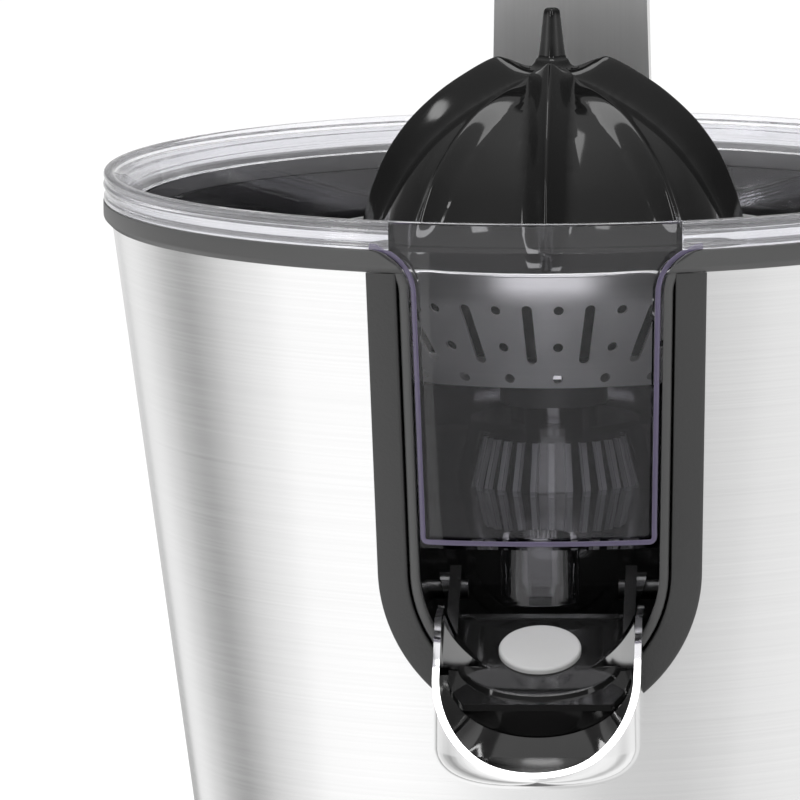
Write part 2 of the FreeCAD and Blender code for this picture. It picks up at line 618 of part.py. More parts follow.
def reamer():
    """Hollow finned cone with a spike, four main fins, four lower fins and a skirt inside the strainer."""
    steps = 10
    heights = [REAMER_WIDE_Z + (REAMER_DOME_TOP_Z - 4 - REAMER_WIDE_Z) * math.sin(math.pi / 2 * i / steps)
               for i in range(steps + 1)]
    dome = [(reamer_r(z) - FIN_HEIGHT * (0.25 + 0.75 * i / steps), z - 2.0 * i / steps)
            for i, z in enumerate(heights)]
    top = dome[-1][1]
    under = [(max(r - REAMER_WALL, 1.5), z - REAMER_WALL * i / steps) for i, (r, z) in enumerate(dome)]
    flange = [(SKIRT_R - REAMER_WALL, SKIRT_LOW_Z), (SKIRT_R, SKIRT_LOW_Z), (SKIRT_R, REAMER_LOW_Z),
              (REAMER_R, REAMER_LOW_Z), (REAMER_R, REAMER_WIDE_Z)]
    skirt_in = SKIRT_R - REAMER_WALL
    tip = [(0.0, top), (0.0, under[-1][1])]
    shell = turned(flange + dome + tip + under[::-1] + [(skirt_in, REAMER_LOW_Z)])
    fin_line = [(reamer_r(z), z) for z in heights if reamer_r(z) >= HORN_R + 3]
    horn = [(HORN_R, REAMER_DOME_TOP_Z - 1.5), (0.0, REAMER_DOME_TOP_Z - 2.5)]
    base = [(0.0, REAMER_DOME_TOP_Z - 9), (REAMER_R - 14, REAMER_WIDE_Z)]
    fins = []
    for turn in (0, 90, 180, 270):
        fins.append(radial_fin(fin_line + horn + base, FIN_WIDTH / 2, turn))
    low_line = [(r, z) for r, z in fin_line if z < REAMER_DOME_TOP_Z - 9]
    low_base = [(HORN_R + 2, REAMER_DOME_TOP_Z - 12), (REAMER_R - 14, REAMER_WIDE_Z)]
    for turn in (45, 135, 225, 315):
        fins.append(radial_fin(low_line + low_base, FIN_WIDTH / 2, turn))
    spike = Part.makeCone(SPIKE_HALF[1], SPIKE_HALF[0], REAMER_TIP_Z - SPIKE_LOW_Z, VEC(0, 0, SPIKE_LOW_Z))
    base_post = cylinder(SPIKE_HALF[1], top - 2, SPIKE_LOW_Z)
    solid = shell.fuse(fins + [base_post, spike])
    hollow = turned([(0.0, SKIRT_LOW_Z - 1), (skirt_in, SKIRT_LOW_Z - 1), (skirt_in, REAMER_LOW_Z)] + under
                    + [(0.0, under[-1][1])])
    return solid.cut(hollow).removeSplitter()


def reamer_socket():
    """Hub inside the cone: a disc below the flange and a hexagon bore that drops over the drive bush."""
    bore = hexagon(DRIVE_BUSH_HEX_AF + 2 * HEX_CLEARANCE, CONE_SEAT_Z - 1, DRIVE_BUSH_TOP_Z + 1)
    hub = cylinder(DRIVE_BUSH_HEX_AF / 2 + 4, CONE_SEAT_Z, DRIVE_BUSH_TOP_Z + 3)
    disc = cylinder(SKIRT_R - REAMER_WALL, DRIVE_BUSH_TOP_Z + 1, DRIVE_BUSH_TOP_Z + 3)
    web = block((0, SKIRT_R - REAMER_WALL - 1), (-1, 1), (DRIVE_BUSH_TOP_Z - 3, DRIVE_BUSH_TOP_Z + 1))
    solid = hub.fuse([disc] + turned_copies(web, 6))
    return solid.cut(bore).removeSplitter()


# ============================================================================
# Spindle, gears and motor
# ============================================================================

IDLER_DISTANCE = OUT_MODULE * (OUT_TEETH + IDLER_PINION_TEETH) / 2
IDLER_X = IDLER_DISTANCE * math.cos(IDLER_ANGLE)
IDLER_Y = IDLER_DISTANCE * math.sin(IDLER_ANGLE)
MOTOR_DISTANCE = MOTOR_MODULE * (IDLER_TEETH + MOTOR_TEETH) / 2
MOTOR_Y = IDLER_Y + math.sqrt(MOTOR_DISTANCE ** 2 - IDLER_X ** 2)
MOTOR_ANGLE = math.atan2(MOTOR_Y - IDLER_Y, -IDLER_X)
GEAR_HIGH_Z = GEAR_LOW_Z + GEAR_W + GEAR_LEVEL_GAP
GEAR_PLATE_Z = (MOTOR_TOP_Z + 2.5, MOTOR_TOP_Z + 5.0)
COVER_TOP_Z = DECK_Z - DECK_WALL


def involute(angle):
    return math.tan(angle) - angle


def gear(teeth, module, addendum, phase, low, high, x, y):
    """Spur gear with involute flanks; one tooth is centred on the phase angle."""
    pitch = module * teeth / 2
    base = pitch * math.cos(PRESSURE_ANGLE)
    tip = pitch + addendum * module
    root = pitch - DEDENDUM * module
    half_thick = (math.pi * module / 2 - TOOTH_PLAY) / (2 * pitch)
    flank_start = max(base, root + 0.05 * module)
    flank = []
    for i in range(5):
        radius = flank_start + (tip - flank_start) * i / 4
        turn = half_thick + involute(PRESSURE_ANGLE) - involute(math.acos(min(1.0, base / radius)))
        flank.append((radius, turn))
    outline = []
    for tooth in range(teeth):
        middle = phase + 2 * math.pi * tooth / teeth
        outline.append((root, middle - flank[0][1]))
        outline += [(r, middle - a) for r, a in flank]
        outline += [(r, middle + a) for r, a in flank[::-1]]
        outline.append((root, middle + flank[0][1]))
    points = [VEC(x + r * math.cos(a), y + r * math.sin(a), low) for r, a in outline]
    return Part.Face(Part.makePolygon(points + points[:1])).extrude(UP * (high - low))


def output_gear():
    wheel = gear(OUT_TEETH, OUT_MODULE, OUT_ADDENDUM, IDLER_ANGLE, GEAR_HIGH_Z, GEAR_HIGH_Z + GEAR_W, 0, 0)
    hub = cylinder(8, GEAR_HIGH_Z - 3, GEAR_HIGH_Z + GEAR_W + 3)
    recess = tube(22, 9.5, GEAR_HIGH_Z + GEAR_W - 1.5, GEAR_HIGH_Z + GEAR_W + 1)
    holes = turned_copies(cylinder(4, GEAR_HIGH_Z - 1, GEAR_HIGH_Z + GEAR_W + 1, 15.5), 6)
    wheel = wheel.cut([recess] + holes).fuse(hub)
    return wheel.cut(cylinder(SHAFT_R + 0.02, GEAR_HIGH_Z - 4, GEAR_HIGH_Z + GEAR_W + 4)).removeSplitter()


def idler_gear():
    """Large wheel driven by the motor, with the pinion that drives the output gear moulded on it."""
    wheel = gear(IDLER_TEETH, MOTOR_MODULE, MOTOR_ADDENDUM, MOTOR_ANGLE, GEAR_LOW_Z, GEAR_LOW_Z + GEAR_W,
                 IDLER_X, IDLER_Y)
    phase = IDLER_ANGLE + math.pi + math.pi / IDLER_PINION_TEETH
    pinion = gear(IDLER_PINION_TEETH, OUT_MODULE, OUT_ADDENDUM, phase, GEAR_LOW_Z + GEAR_W,
                  GEAR_HIGH_Z + GEAR_W + PINION_EXTRA, IDLER_X, IDLER_Y)
    bore = cylinder(AXLE_R + RUNNING_FIT, GEAR_LOW_Z - 1, GEAR_HIGH_Z + GEAR_W + 5, IDLER_X, IDLER_Y)
    return wheel.fuse(pinion).cut(bore).removeSplitter()


def idler_axle():
    return cylinder(AXLE_R, GEAR_PLATE_Z[0], COVER_TOP_Z - 3, IDLER_X, IDLER_Y)


def drive_shaft():
    """Steel spindle with a hexagon end."""
    shaft = cylinder(SHAFT_R, GEAR_PLATE_Z[0] - 2, CHIMNEY_TOP_Z - 1.5)
    return shaft.fuse(hexagon(SHAFT_HEX_AF, CHIMNEY_TOP_Z - 1.5, SHAFT_TOP_Z)).removeSplitter()


def shaft_clip():
    """Circlip under the gear plate's bush."""
    low = GEAR_PLATE_Z[0] - 1.4
    ring = tube(SHAFT_R + 2.2, SHAFT_R + 0.02, low, low + 0.8)
    return ring.cut(block((0, 8), (-1, 1), (low - 1, low + 2)))


def spindle_bushes():
    """Sintered bushes: one in the boss of the liner, one in the gear plate."""
    upper = tube(SHAFT_R + BUSH_WALL, SHAFT_R + RUNNING_FIT, BOSS_TOP_Z - 2, BOSS_SLEEVE_TOP_Z - 0.5)
    barrel = tube(SHAFT_R + BUSH_WALL, SHAFT_R + RUNNING_FIT, GEAR_PLATE_Z[0], GEAR_PLATE_Z[1])
    flange = tube(SHAFT_R + BUSH_WALL + 2, SHAFT_R + RUNNING_FIT, GEAR_PLATE_Z[1], GEAR_PLATE_Z[1] + 2)
    return Part.makeCompound([upper, barrel.fuse(flange).removeSplitter()])


def gear_plate():
    """Steel plate that carries the motor below and the gears above."""
    plate = round_block(46, 50, 12, GEAR_PLATE_Z[0], GEAR_PLATE_Z[1], 0, 11)
    holes = [cylinder(SHAFT_R + BUSH_WALL, 0, RIM_Z), cylinder(AXLE_R, 0, RIM_Z, IDLER_X, IDLER_Y),
             cylinder(MOTOR_SHAFT_R + 4, 0, RIM_Z, 0, MOTOR_Y)]
    holes += [cylinder(1.6, 0, RIM_Z, x, y) for x, y in PLATE_SCREWS + MOTOR_SCREWS]
    return plate.cut(holes)


COVER_HALF_X = COVER_ROOM[0] + PLASTIC_WALL
COVER_HALF_Y = COVER_ROOM[1] + PLASTIC_WALL
COVER_X, COVER_Y = COVER_PLACE
PLATE_SCREWS = [(COVER_X + sx * (COVER_HALF_X - 8), COVER_Y + sy * (COVER_HALF_Y - 5))
                for sx, sy in ((-1, -1), (1, -1), (-1, 1))]
MOTOR_SCREWS = [(sx * (STACK_X - 5), MOTOR_Y + sy * (STACK_Y - 5)) for sx in (-1, 1) for sy in (-1, 1)]


def gearbox_cover():
    """Moulded cover over the gears; its top meets the underside of the liner's deck."""
    low = GEAR_PLATE_Z[1]
    solid = round_block(COVER_HALF_X, COVER_HALF_Y, 8, low, COVER_TOP_Z, COVER_X, COVER_Y)
    inner = round_block(COVER_HALF_X - PLASTIC_WALL, COVER_HALF_Y - PLASTIC_WALL, 6, low - 1,
                        COVER_TOP_Z - PLASTIC_WALL, COVER_X, COVER_Y)
    solid = solid.cut(inner)
    for x, y in PLATE_SCREWS:
        solid = solid.fuse(cylinder(4, low, COVER_TOP_Z - 1, x, y))
        solid = solid.cut(cylinder(1.5, low - 1, low + 14, x, y))
    solid = solid.fuse(cylinder(AXLE_R + 2, COVER_TOP_Z - 7, COVER_TOP_Z - 1, IDLER_X, IDLER_Y))
    axle_hole = cylinder(AXLE_R, low, COVER_TOP_Z - 3, IDLER_X, IDLER_Y)
    return solid.cut([axle_hole, cylinder(SHAFT_R + 2, low, RIM_Z)]).removeSplitter()


def gearbox_screws():
    return Part.makeCompound([screw(1.5, 13, x, y, GEAR_PLATE_Z[0]) for x, y in PLATE_SCREWS])


def motor_stator():
    """Lamination stack with two pole pieces round the rotor."""
    high = STACK_LOW_Z + STACK_H
    stack = round_block(STACK_X, STACK_Y, 5, STACK_LOW_Z, high, 0, MOTOR_Y)
    window = block((-STACK_X + 6, STACK_X - 6), (MOTOR_Y - STACK_Y + 6, MOTOR_Y + STACK_Y - 6),
                   (STACK_LOW_Z - 1, high + 1))
    poles = cylinder(ROTOR_R + AIR_GAP + 4, STACK_LOW_Z, high, 0, MOTOR_Y)
    poles = poles.common(block((-9, 9), (MOTOR_Y - STACK_Y, MOTOR_Y + STACK_Y), (STACK_LOW_Z, high)))
    necks = block((-6, 6), (MOTOR_Y - STACK_Y + 1, MOTOR_Y + STACK_Y - 1), (STACK_LOW_Z, high))
    solid = stack.cut(window).fuse([poles, necks])
    solid = solid.cut(cylinder(ROTOR_R + AIR_GAP, STACK_LOW_Z - 1, high + 1, 0, MOTOR_Y))
    return solid.cut([cylinder(1.6, 0, RIM_Z, x, y) for x, y in MOTOR_SCREWS]).removeSplitter()


def field_coils():
    """Two flat copper coils on the pole sides, standing a little above and below the stack."""
    coils = []
    for side in (-1, 1):
        x = sorted((side * (ROTOR_R + AIR_GAP + 1.2), side * (STACK_X - 6.6)))
        coils.append(block(x, (MOTOR_Y - STACK_Y + 10, MOTOR_Y + STACK_Y - 10),
                           (STACK_LOW_Z - 4, STACK_LOW_Z + STACK_H + 4)))
    return Part.makeCompound(coils)


def motor_brackets():
    """End brackets above and below the stack; each holds one of the motor's bearings."""
    pieces = []
    for low, high, bearing in ((MOTOR_TOP_Z - 2.5, MOTOR_TOP_Z, -1), (MOTOR_LOW_Z, MOTOR_LOW_Z + 2.5, 1)):
        bar = round_block(STACK_X, 9, 3, low, high, 0, MOTOR_Y)
        bar = bar.cut(cylinder(5.5, low - 1, high + 1, 0, MOTOR_Y))
        post_low = high if bearing > 0 else STACK_LOW_Z + STACK_H
        post_high = STACK_LOW_Z if bearing > 0 else low
        for x, y in MOTOR_SCREWS:
            bar = bar.fuse(cylinder(4, low, high, x, y))
            bar = bar.fuse(block(sorted((x, x * 0.8)), sorted((y, MOTOR_Y)), (low, high)))
            bar = bar.fuse(cylinder(4, post_low, post_high, x, y))
        cuts = [cylinder(1.6, 0, RIM_Z, x, y) for x, y in MOTOR_SCREWS]
        bar = bar.cut(cuts)
        pieces.append(bar.cut(cylinder(5.5, low - 1, high + 1, 0, MOTOR_Y)).removeSplitter())
    return Part.makeCompound(pieces)


def motor_bearings():
    bearings = []
    for low in (MOTOR_TOP_Z - 4.5, MOTOR_LOW_Z - 1):
        bearings.append(tube(5.5, MOTOR_SHAFT_R + RUNNING_FIT, low, low + 5, 0, MOTOR_Y))
    return Part.makeCompound(bearings)


def motor_screws():
    """Long screws that hold the brackets and the stack up to the gear plate."""
    length = GEAR_PLATE_Z[1] - MOTOR_LOW_Z + 2
    return Part.makeCompound([screw(1.5, length, x, y, MOTOR_LOW_Z) for x, y in MOTOR_SCREWS])


def motor_spacers():
    """Rubber rings between the upper bracket and the gear plate."""
    rings = [tube(4, 1.6, MOTOR_TOP_Z, GEAR_PLATE_Z[0], x, y) for x, y in MOTOR_SCREWS]
    return Part.makeCompound(rings)


def brush_holders():
    """Carbon brush boxes either side of the commutator, hung from the lower bracket."""
    boxes = []
    for side in (-1, 1):
        x = sorted((side * (COMMUTATOR_R + FACE_GAP), side * (STACK_X - 8)))
        boxes.append(block(x, (MOTOR_Y - 3, MOTOR_Y + 3), (MOTOR_LOW_Z + 2.5, MOTOR_LOW_Z + 9)))
    return Part.makeCompound(boxes)


def rotor_core():
    """Slotted rotor stack."""
    core = tube(ROTOR_R, MOTOR_SHAFT_R + 0.02, STACK_LOW_Z, STACK_LOW_Z + STACK_H)
    slot = block((ROTOR_R - 5, ROTOR_R + 1), (-1, 1), (STACK_LOW_Z - 1, STACK_LOW_Z + STACK_H + 1))
    core = core.cut(turned_copies(slot, 12))
    core.translate(VEC(0, MOTOR_Y, 0))
    return core


def rotor_windings():
    """End turns of the rotor's winding, above and below its stack."""
    high = STACK_LOW_Z + STACK_H
    rings = [tube(ROTOR_R - 1.5, MOTOR_SHAFT_R + 0.1, low, low + 3.5, 0, MOTOR_Y)
             for low in (STACK_LOW_Z - 3.5, high)]
    return Part.makeCompound(rings)


def commutator():
    ring = tube(COMMUTATOR_R, MOTOR_SHAFT_R + 0.02, MOTOR_LOW_Z + 4.5, STACK_LOW_Z - 4)
    slot = block((COMMUTATOR_R - 1, COMMUTATOR_R + 1), (-0.25, 0.25), (0, STACK_LOW_Z))
    ring = ring.cut(turned_copies(slot, 12))
    ring.translate(VEC(0, MOTOR_Y, 0))
    return ring


def motor_shaft():
    return cylinder(MOTOR_SHAFT_R, MOTOR_LOW_Z - 14, GEAR_LOW_Z + GEAR_W + 2, 0, MOTOR_Y)


def motor_pinion():
    phase = MOTOR_ANGLE + math.pi + math.pi / MOTOR_TEETH
    wheel = gear(MOTOR_TEETH, MOTOR_MODULE, MOTOR_ADDENDUM, phase, GEAR_LOW_Z - 1, GEAR_LOW_Z + GEAR_W + 1,
                 0, MOTOR_Y)
    return wheel.cut(cylinder(MOTOR_SHAFT_R + 0.02, 0, RIM_Z, 0, MOTOR_Y))


def cooling_fan():
    """Radial fan on the lower end of the motor's shaft."""
    low = MOTOR_LOW_Z - 13
    disc = cylinder(20, low, low + 1.2)
    hub = cylinder(5.5, low, low + 8)
    blade = block((5, 19.5), (-0.6, 0.6), (low + 0.5, low + 7.5))
    fan = disc.fuse([hub] + turned_copies(blade, 9)).cut(cylinder(MOTOR_SHAFT_R + 0.02, 0, RIM_Z))
    fan.translate(VEC(0, MOTOR_Y, 0))
    return fan.removeSplitter()


# ============================================================================
# Spout
# ============================================================================

def scoop_form(inset, top):
    """Upright trough with a round front and a rounded lower edge, less an inset on every side."""
    half = SPOUT_HALF - inset
    low = SPOUT_LOW_Z + inset
    back = SPOUT_PIVOT_Y
    left = VEC(-half, back, low)
    left_nose = VEC(-half, SPOUT_NOSE_Y, low)
    tip = VEC(0, SPOUT_NOSE_Y - half, low)
    right_nose = VEC(half, SPOUT_NOSE_Y, low)
    right = VEC(half, back, low)
    wire = Part.Wire([Part.makeLine(left, left_nose), Part.Arc(left_nose, tip, right_nose).toShape(),
                      Part.makeLine(right_nose, right), Part.makeLine(right, left)])
    solid = Part.Face(wire).extrude(UP * (top - low))
    edges = [e for e in solid.Edges if e.BoundBox.ZMax < low + 0.01 and e.BoundBox.YMin < back - 1]
    return solid.makeFillet(SPOUT_EDGE_R - inset, edges)


def spout_rim_cut():
    """Everything above the scoop's rim line, which falls from the hinge corners to the lip."""
    front = SPOUT_NOSE_Y - SPOUT_HALF
    corner_y, corner_z = SPOUT_CORNER
    slope = (corner_z - SPOUT_LIP_Z) / (corner_y - front)
    ahead = 10.0
    outline = [(RECESS_BACK_Y, corner_z + 1.0), (corner_y, corner_z), (front, SPOUT_LIP_Z),
               (front - ahead, SPOUT_LIP_Z - slope * ahead), (front - ahead, RIM_Z), (RECESS_BACK_Y, RIM_Z)]
    return side_plate(outline, SPOUT_HALF + 5)


def spout_back_cut(gap):
    """Everything that would meet the body's cone or the arch's round lower end."""
    low = SPOUT_LOW_Z - 5
    cone = cone_layer(FRAME_PROUD + gap, lambda z: 0.5, low, RIM_Z)
    tunnel = arch_prism(OPENING_INSET + gap, FAR_FRONT, RECESS_BACK_Y, RIM_Z)
    return cone.cut(tunnel)


def spout_scoop():
    """Polished scoop that catches the juice and pours it from its low front lip."""
    top = SPOUT_CORNER[1] + 3
    outer = scoop_form(0, top).cut(spout_back_cut(SPOUT_GAP))
    inner = scoop_form(SPOUT_WALL, top + 1).cut(spout_back_cut(SPOUT_GAP + SPOUT_WALL))
    behind = block((-SPOUT_HALF - 1, SPOUT_HALF + 1), (SPOUT_CORNER[0] + 14, 0), (0, RIM_Z))
    shell = outer.cut([inner, spout_rim_cut(), behind])
    return largest_solid(shell.removeSplitter())


def largest_solid(shape):
    return max(shape.Solids, key=lambda s: s.Volume)


def tilted(solid):
    """Turn a piece of the spout from its shut place to where it rests open."""
    copy = solid.copy()
    copy.rotate(VEC(0, SPOUT_PIVOT_Y, SPOUT_PIVOT_Z), RIGHT, SPOUT_TILT)
    return copy


def spout_tray():
    """Black tray that carries the seal; its two arms run back to the pins."""
    half = SPOUT_HALF - SPOUT_WALL - FACE_GAP
    plate_top = SPOUT_PIVOT_Z - PAD_H
    plate_low = plate_top - TRAY_PLATE
    y_front = SPOUT_PIVOT_Y - TRAY_FRONT
    nose_y = y_front + half * 0.55
    plate = block((-half + 1, half - 1), (nose_y, SPOUT_PIVOT_Y - 6), (plate_low, plate_top))
    nose = Part.makeCylinder(half - 1, TRAY_PLATE, VEC(0, nose_y, plate_low))
    nose = nose.common(block((-half, half), (y_front, nose_y + 5), (plate_low - 1, plate_top + 1)))
    arms = []
    for side in (-1, 1):
        x = sorted((side * (half - 2.6), side * (half - 0.2)))
        y, z = SPOUT_PIVOT_Y, SPOUT_PIVOT_Z
        arm = side_plate([(y + 3.6, z - 3.6), (y + 3.6, z + 3.6), (y - 3.6, z + 3.6),
                          (y - 20, z + 2), (y - 20, plate_low), (y - 3.6, plate_low)], 1.2)
        arm.translate(VEC((x[0] + x[1]) / 2, 0, 0))
        arms.append(arm)
    bosses = rod_x(3.6, SPOUT_BOSS_HALF, SPOUT_PIVOT_Y, SPOUT_PIVOT_Z)
    bosses = bosses.cut(rod_x(4, half - 2.6, SPOUT_PIVOT_Y, SPOUT_PIVOT_Z))
    tray = plate.fuse([nose, bosses] + arms)
    tray = tray.cut(rod_x(SPOUT_PIN_R, ARCH_HALF, SPOUT_PIVOT_Y, SPOUT_PIVOT_Z))
    stem_y = SPOUT_PIVOT_Y - PAD_FROM_PIVOT
    tray = tray.cut(cylinder(PAD_STEM_R + 0.05, plate_low - 3, plate_top + 1, 0, stem_y))
    tray = tilted(tray)
    room = scoop_form(SPOUT_WALL + FACE_GAP, SPOUT_PIVOT_Z)
    ahead = block((-SPOUT_HALF, SPOUT_HALF), (FAR_FRONT, SPOUT_CORNER[0] + 14), (0, RIM_Z))
    tray = tray.cut(ahead.cut(room)).cut(spout_back_cut(SPOUT_GAP + SPOUT_WALL + FACE_GAP))
    return largest_solid(tray.removeSplitter())


def seal_pad():
    """Soft pad that shuts the nozzle when the spout is flipped up."""
    low = SPOUT_PIVOT_Z - PAD_H
    y = SPOUT_PIVOT_Y - PAD_FROM_PIVOT
    disc = cylinder(PAD_R, low, low + PAD_H, 0, y)
    rim = [e for e in disc.Edges if e.BoundBox.ZMin > low + PAD_H - 0.1]
    disc = disc.makeFillet(0.6, rim)
    stem = cylinder(PAD_STEM_R, low - TRAY_PLATE / 2, low, 0, y)
    return tilted(disc.fuse(stem).removeSplitter())


def spout_pins():
    """Stub pins through the tray's arms into the recess's walls."""
    half = SPOUT_HALF - SPOUT_WALL - FACE_GAP
    wall = math.sqrt(arch_half(ARCH_CENTRE_Z, OPENING_INSET) ** 2 - (ARCH_CENTRE_Z - SPOUT_PIVOT_Z) ** 2)
    pins = []
    for side in (-1, 1):
        start = side * (half - 4)
        pins.append(Part.makeCylinder(SPOUT_PIN_R - RUNNING_FIT, wall + 1.6 - (half - 4),
                                      VEC(start, SPOUT_PIVOT_Y, SPOUT_PIVOT_Z), RIGHT * side))
    return Part.makeCompound(pins)


# ============================================================================
# Column
# ============================================================================

def column_form(inset, low, high):
    """The column's outline lofted from its foot to its top: round edges, narrowing upwards."""
    levels = [low, RING_TOP_Z, high]
    wires = []
    for z in levels:
        half = column_half(z) - inset
        back = column_back(z) - inset
        front = 40.0
        r = COLUMN_EDGE_R - inset
        corner = r * (1 - math.sqrt(0.5))
        p = [VEC(-half, front, z), VEC(half, front, z), VEC(half, back - r, z),
             VEC(half - corner, back - corner, z), VEC(half - r, back, z), VEC(-half + r, back, z),
             VEC(-half + corner, back - corner, z), VEC(-half, back - r, z)]
        edges = [Part.makeLine(p[0], p[1]), Part.makeLine(p[1], p[2]), Part.Arc(p[2], p[3], p[4]).toShape(),
                 Part.makeLine(p[4], p[5]), Part.Arc(p[5], p[6], p[7]).toShape(), Part.makeLine(p[7], p[0])]
        wires.append(Part.Wire(edges))
    return Part.makeLoft(wires, True, True)


COLUMN_FRONT_Y = RIM_R + 6.0


def column_keep(gap):
    """What the column may not enter: the body, the black ring and the bowl's rim."""
    cone = cone_layer(gap, lambda z: 0.5, 0, RING_LOW_Z + 0.1)
    ring = cylinder(RIM_R + 1.0 + gap, RING_LOW_Z, RIM_Z + 4)
    return cone.fuse(ring)


def column_front(inset):
    """The space in front of the column's front face above the ring."""
    return block((-50, 50), (0, COLUMN_FRONT_Y + inset), (RING_LOW_Z, RIM_Z + 200))


def column_sleeve():
    """Brushed steel wrap round the column."""
    outer = column_form(0, BASE_TOP_Z, COLUMN_TOP_Z)
    outer = outer.cut([column_keep(FACE_GAP), column_front(0)])
    inner = column_form(COLUMN_SHEET, BASE_TOP_Z - 1, COLUMN_TOP_Z + 1)
    inner = inner.cut(column_front(COLUMN_SHEET))
    return largest_solid(outer.cut([inner, gland_hole()]).removeSplitter())


def column_core():
    """Cast column inside the wrap; two ears at its top carry the arm's pin."""
    gap = COLUMN_SHEET + 0.2
    solid = column_form(gap, BASE_TOP_Z, COLUMN_TOP_Z)
    solid = solid.cut([column_keep(2.0), column_front(gap)])
    hollow = column_form(gap + 3, BASE_TOP_Z + 10, COLUMN_TOP_Z - 20)
    hollow = hollow.cut([column_keep(5.0), column_front(gap + 3)])
    solid = largest_solid(solid).cut(hollow)
    for side in (-1, 1):
        x = sorted((side * (KNUCKLE_HALF + FACE_GAP), side * (KNUCKLE_HALF + FACE_GAP + EAR_W)))
        ear = block(x, (PIVOT_Y - EAR_R, PIVOT_Y + EAR_R), (COLUMN_TOP_Z, PIVOT_Z))
        ear = ear.fuse(Part.makeCylinder(EAR_R, EAR_W, VEC(x[0], PIVOT_Y, PIVOT_Z), RIGHT))
        solid = solid.fuse(ear)
    relief = rod_x(KNUCKLE_R + 1.0, KNUCKLE_HALF + FACE_GAP, PIVOT_Y, PIVOT_Z)
    cam_slot = rod_x(CAM_R + CAM_RISE + 1.0, CAM_HALF + 1.0, PIVOT_Y, PIVOT_Z)
    pocket = block((-SWITCH_HALF[0] - 0.2, SWITCH_HALF[0] + 0.2),
                   (PIVOT_Y - SWITCH_HALF[1] - 0.2, PIVOT_Y + SWITCH_HALF[1] + 0.2), (SWITCH_Z[0], PIVOT_Z))
    cuts = [relief, cam_slot, pocket, rod_x(PIVOT_PIN_R, 40, PIVOT_Y, PIVOT_Z), gland_hole()]
    cuts += [cylinder(SCREW_R, 0, BASE_TOP_Z + 9, x, y) for x, y in TONGUE_FEET]
    return largest_solid(solid.cut(cuts).removeSplitter())


EARS_OUT = KNUCKLE_HALF + FACE_GAP + EAR_W


def pivot_pin():
    return rod_x(PIVOT_PIN_R - 0.01, EARS_OUT, PIVOT_Y, PIVOT_Z)


def pivot_caps():
    """Domed caps over the pin's ends."""
    caps = []
    for side in (-1, 1):
        cap = Part.makeCylinder(7, 1.2, VEC(side * EARS_OUT, PIVOT_Y, PIVOT_Z), RIGHT * side)
        dome = Part.makeCone(6.5, 4.5, 0.8, VEC(side * (EARS_OUT + 1.2), PIVOT_Y, PIVOT_Z), RIGHT * side)
        caps.append(cap.fuse(dome).removeSplitter())
    return Part.makeCompound(caps)


def pivot_bushes():
    """Bushes in the arm's knuckle that run on the pin."""
    bushes = []
    radius = PIVOT_PIN_R + BUSH_WALL - 0.02
    for side in (-1, 1):
        start = side * (KNUCKLE_HALF - 0.2)
        ring = Part.makeCylinder(radius, 4, VEC(start, PIVOT_Y, PIVOT_Z), RIGHT * -side)
        bushes.append(ring.cut(rod_x(PIVOT_PIN_R + RUNNING_FIT, 40, PIVOT_Y, PIVOT_Z)))
    return Part.makeCompound(bushes)


def return_spring():
    """Torsion spring on the pin, inside the knuckle's hollow middle; it lifts the arm."""
    coil_r = PIVOT_PIN_R + 1.3
    length = SPRING_PITCH * SPRING_TURNS
    helix = Part.makeHelix(SPRING_PITCH, length, coil_r)
    lean = math.atan2(SPRING_PITCH, 2 * math.pi * coil_r)
    across = VEC(0, -math.sin(lean), math.cos(lean))
    section = []
    for i in range(SPRING_SIDES):
        turn = 2 * math.pi * i / SPRING_SIDES
        spoke = RIGHT * math.cos(turn) + across * math.sin(turn)
        section.append(VEC(coil_r, 0, 0) + spoke * SPRING_WIRE_R)
    profile = Part.makePolygon(section + section[:1])
    coil = Part.Wire(helix.Edges).makePipeShell([profile], True, True)
    coil.rotate(CENTRE, BACK, 90)
    coil.translate(VEC(-length / 2, PIVOT_Y, PIVOT_Z))
    return coil


def column_screws():
    """Two screws up through the rear feet and the base's tongue into the column."""
    length = BASE_H + 10
    return Part.makeCompound([screw(SCREW_R, length, x, y, FOOT_H - FOOT_SEAT) for x, y in TONGUE_FEET])


def micro_switch():
    """Small switch in the top of the column, worked by the cam on the arm's knuckle."""
    half_x, half_y = SWITCH_HALF
    body = block((-half_x, half_x), (PIVOT_Y - half_y, PIVOT_Y + half_y), SWITCH_Z)
    return body.cut(cylinder(PLUNGER_R + 0.1, SWITCH_Z[1] - 5, SWITCH_Z[1] + 1, 0, PIVOT_Y))


def switch_plunger():
    """Button of the switch; its top stays just under the cam."""
    return cylinder(PLUNGER_R, SWITCH_Z[1] - 2.5, PIVOT_Z - CAM_R - FACE_GAP, 0, PIVOT_Y)


def gland_hole():
    """Hole through the back of the column for the gland."""
    return Part.makeCylinder(GLAND_R + 0.05, 30, VEC(0, column_back(GLAND_Z) - 15, GLAND_Z), BACK)


def cord_gland():
    """Tapered gland low on the back of the column, where the mains lead enters."""
    start = column_back(GLAND_Z) - 6
    bush = Part.makeCylinder(GLAND_R, 8, VEC(0, start, GLAND_Z), BACK)
    sleeve = Part.makeCone(GLAND_R - 1.5, GLAND_R - 2.7, 9, VEC(0, start + 8, GLAND_Z), BACK)
    bore = Part.makeCylinder(GLAND_R - 4.1, 40, VEC(0, start - 2, GLAND_Z), BACK)
    return bush.fuse(sleeve).cut(bore).removeSplitter()


# ============================================================================
# Arm and press cup, modelled pressed down and then turned up to rest
# ============================================================================

def raised(solid):
    """Turn a piece of the arm from its pressed place up to where it rests."""
    copy = solid.copy()
    copy.rotate(VEC(0, PIVOT_Y, PIVOT_Z), RIGHT, -ARM_RAISED)
    return copy


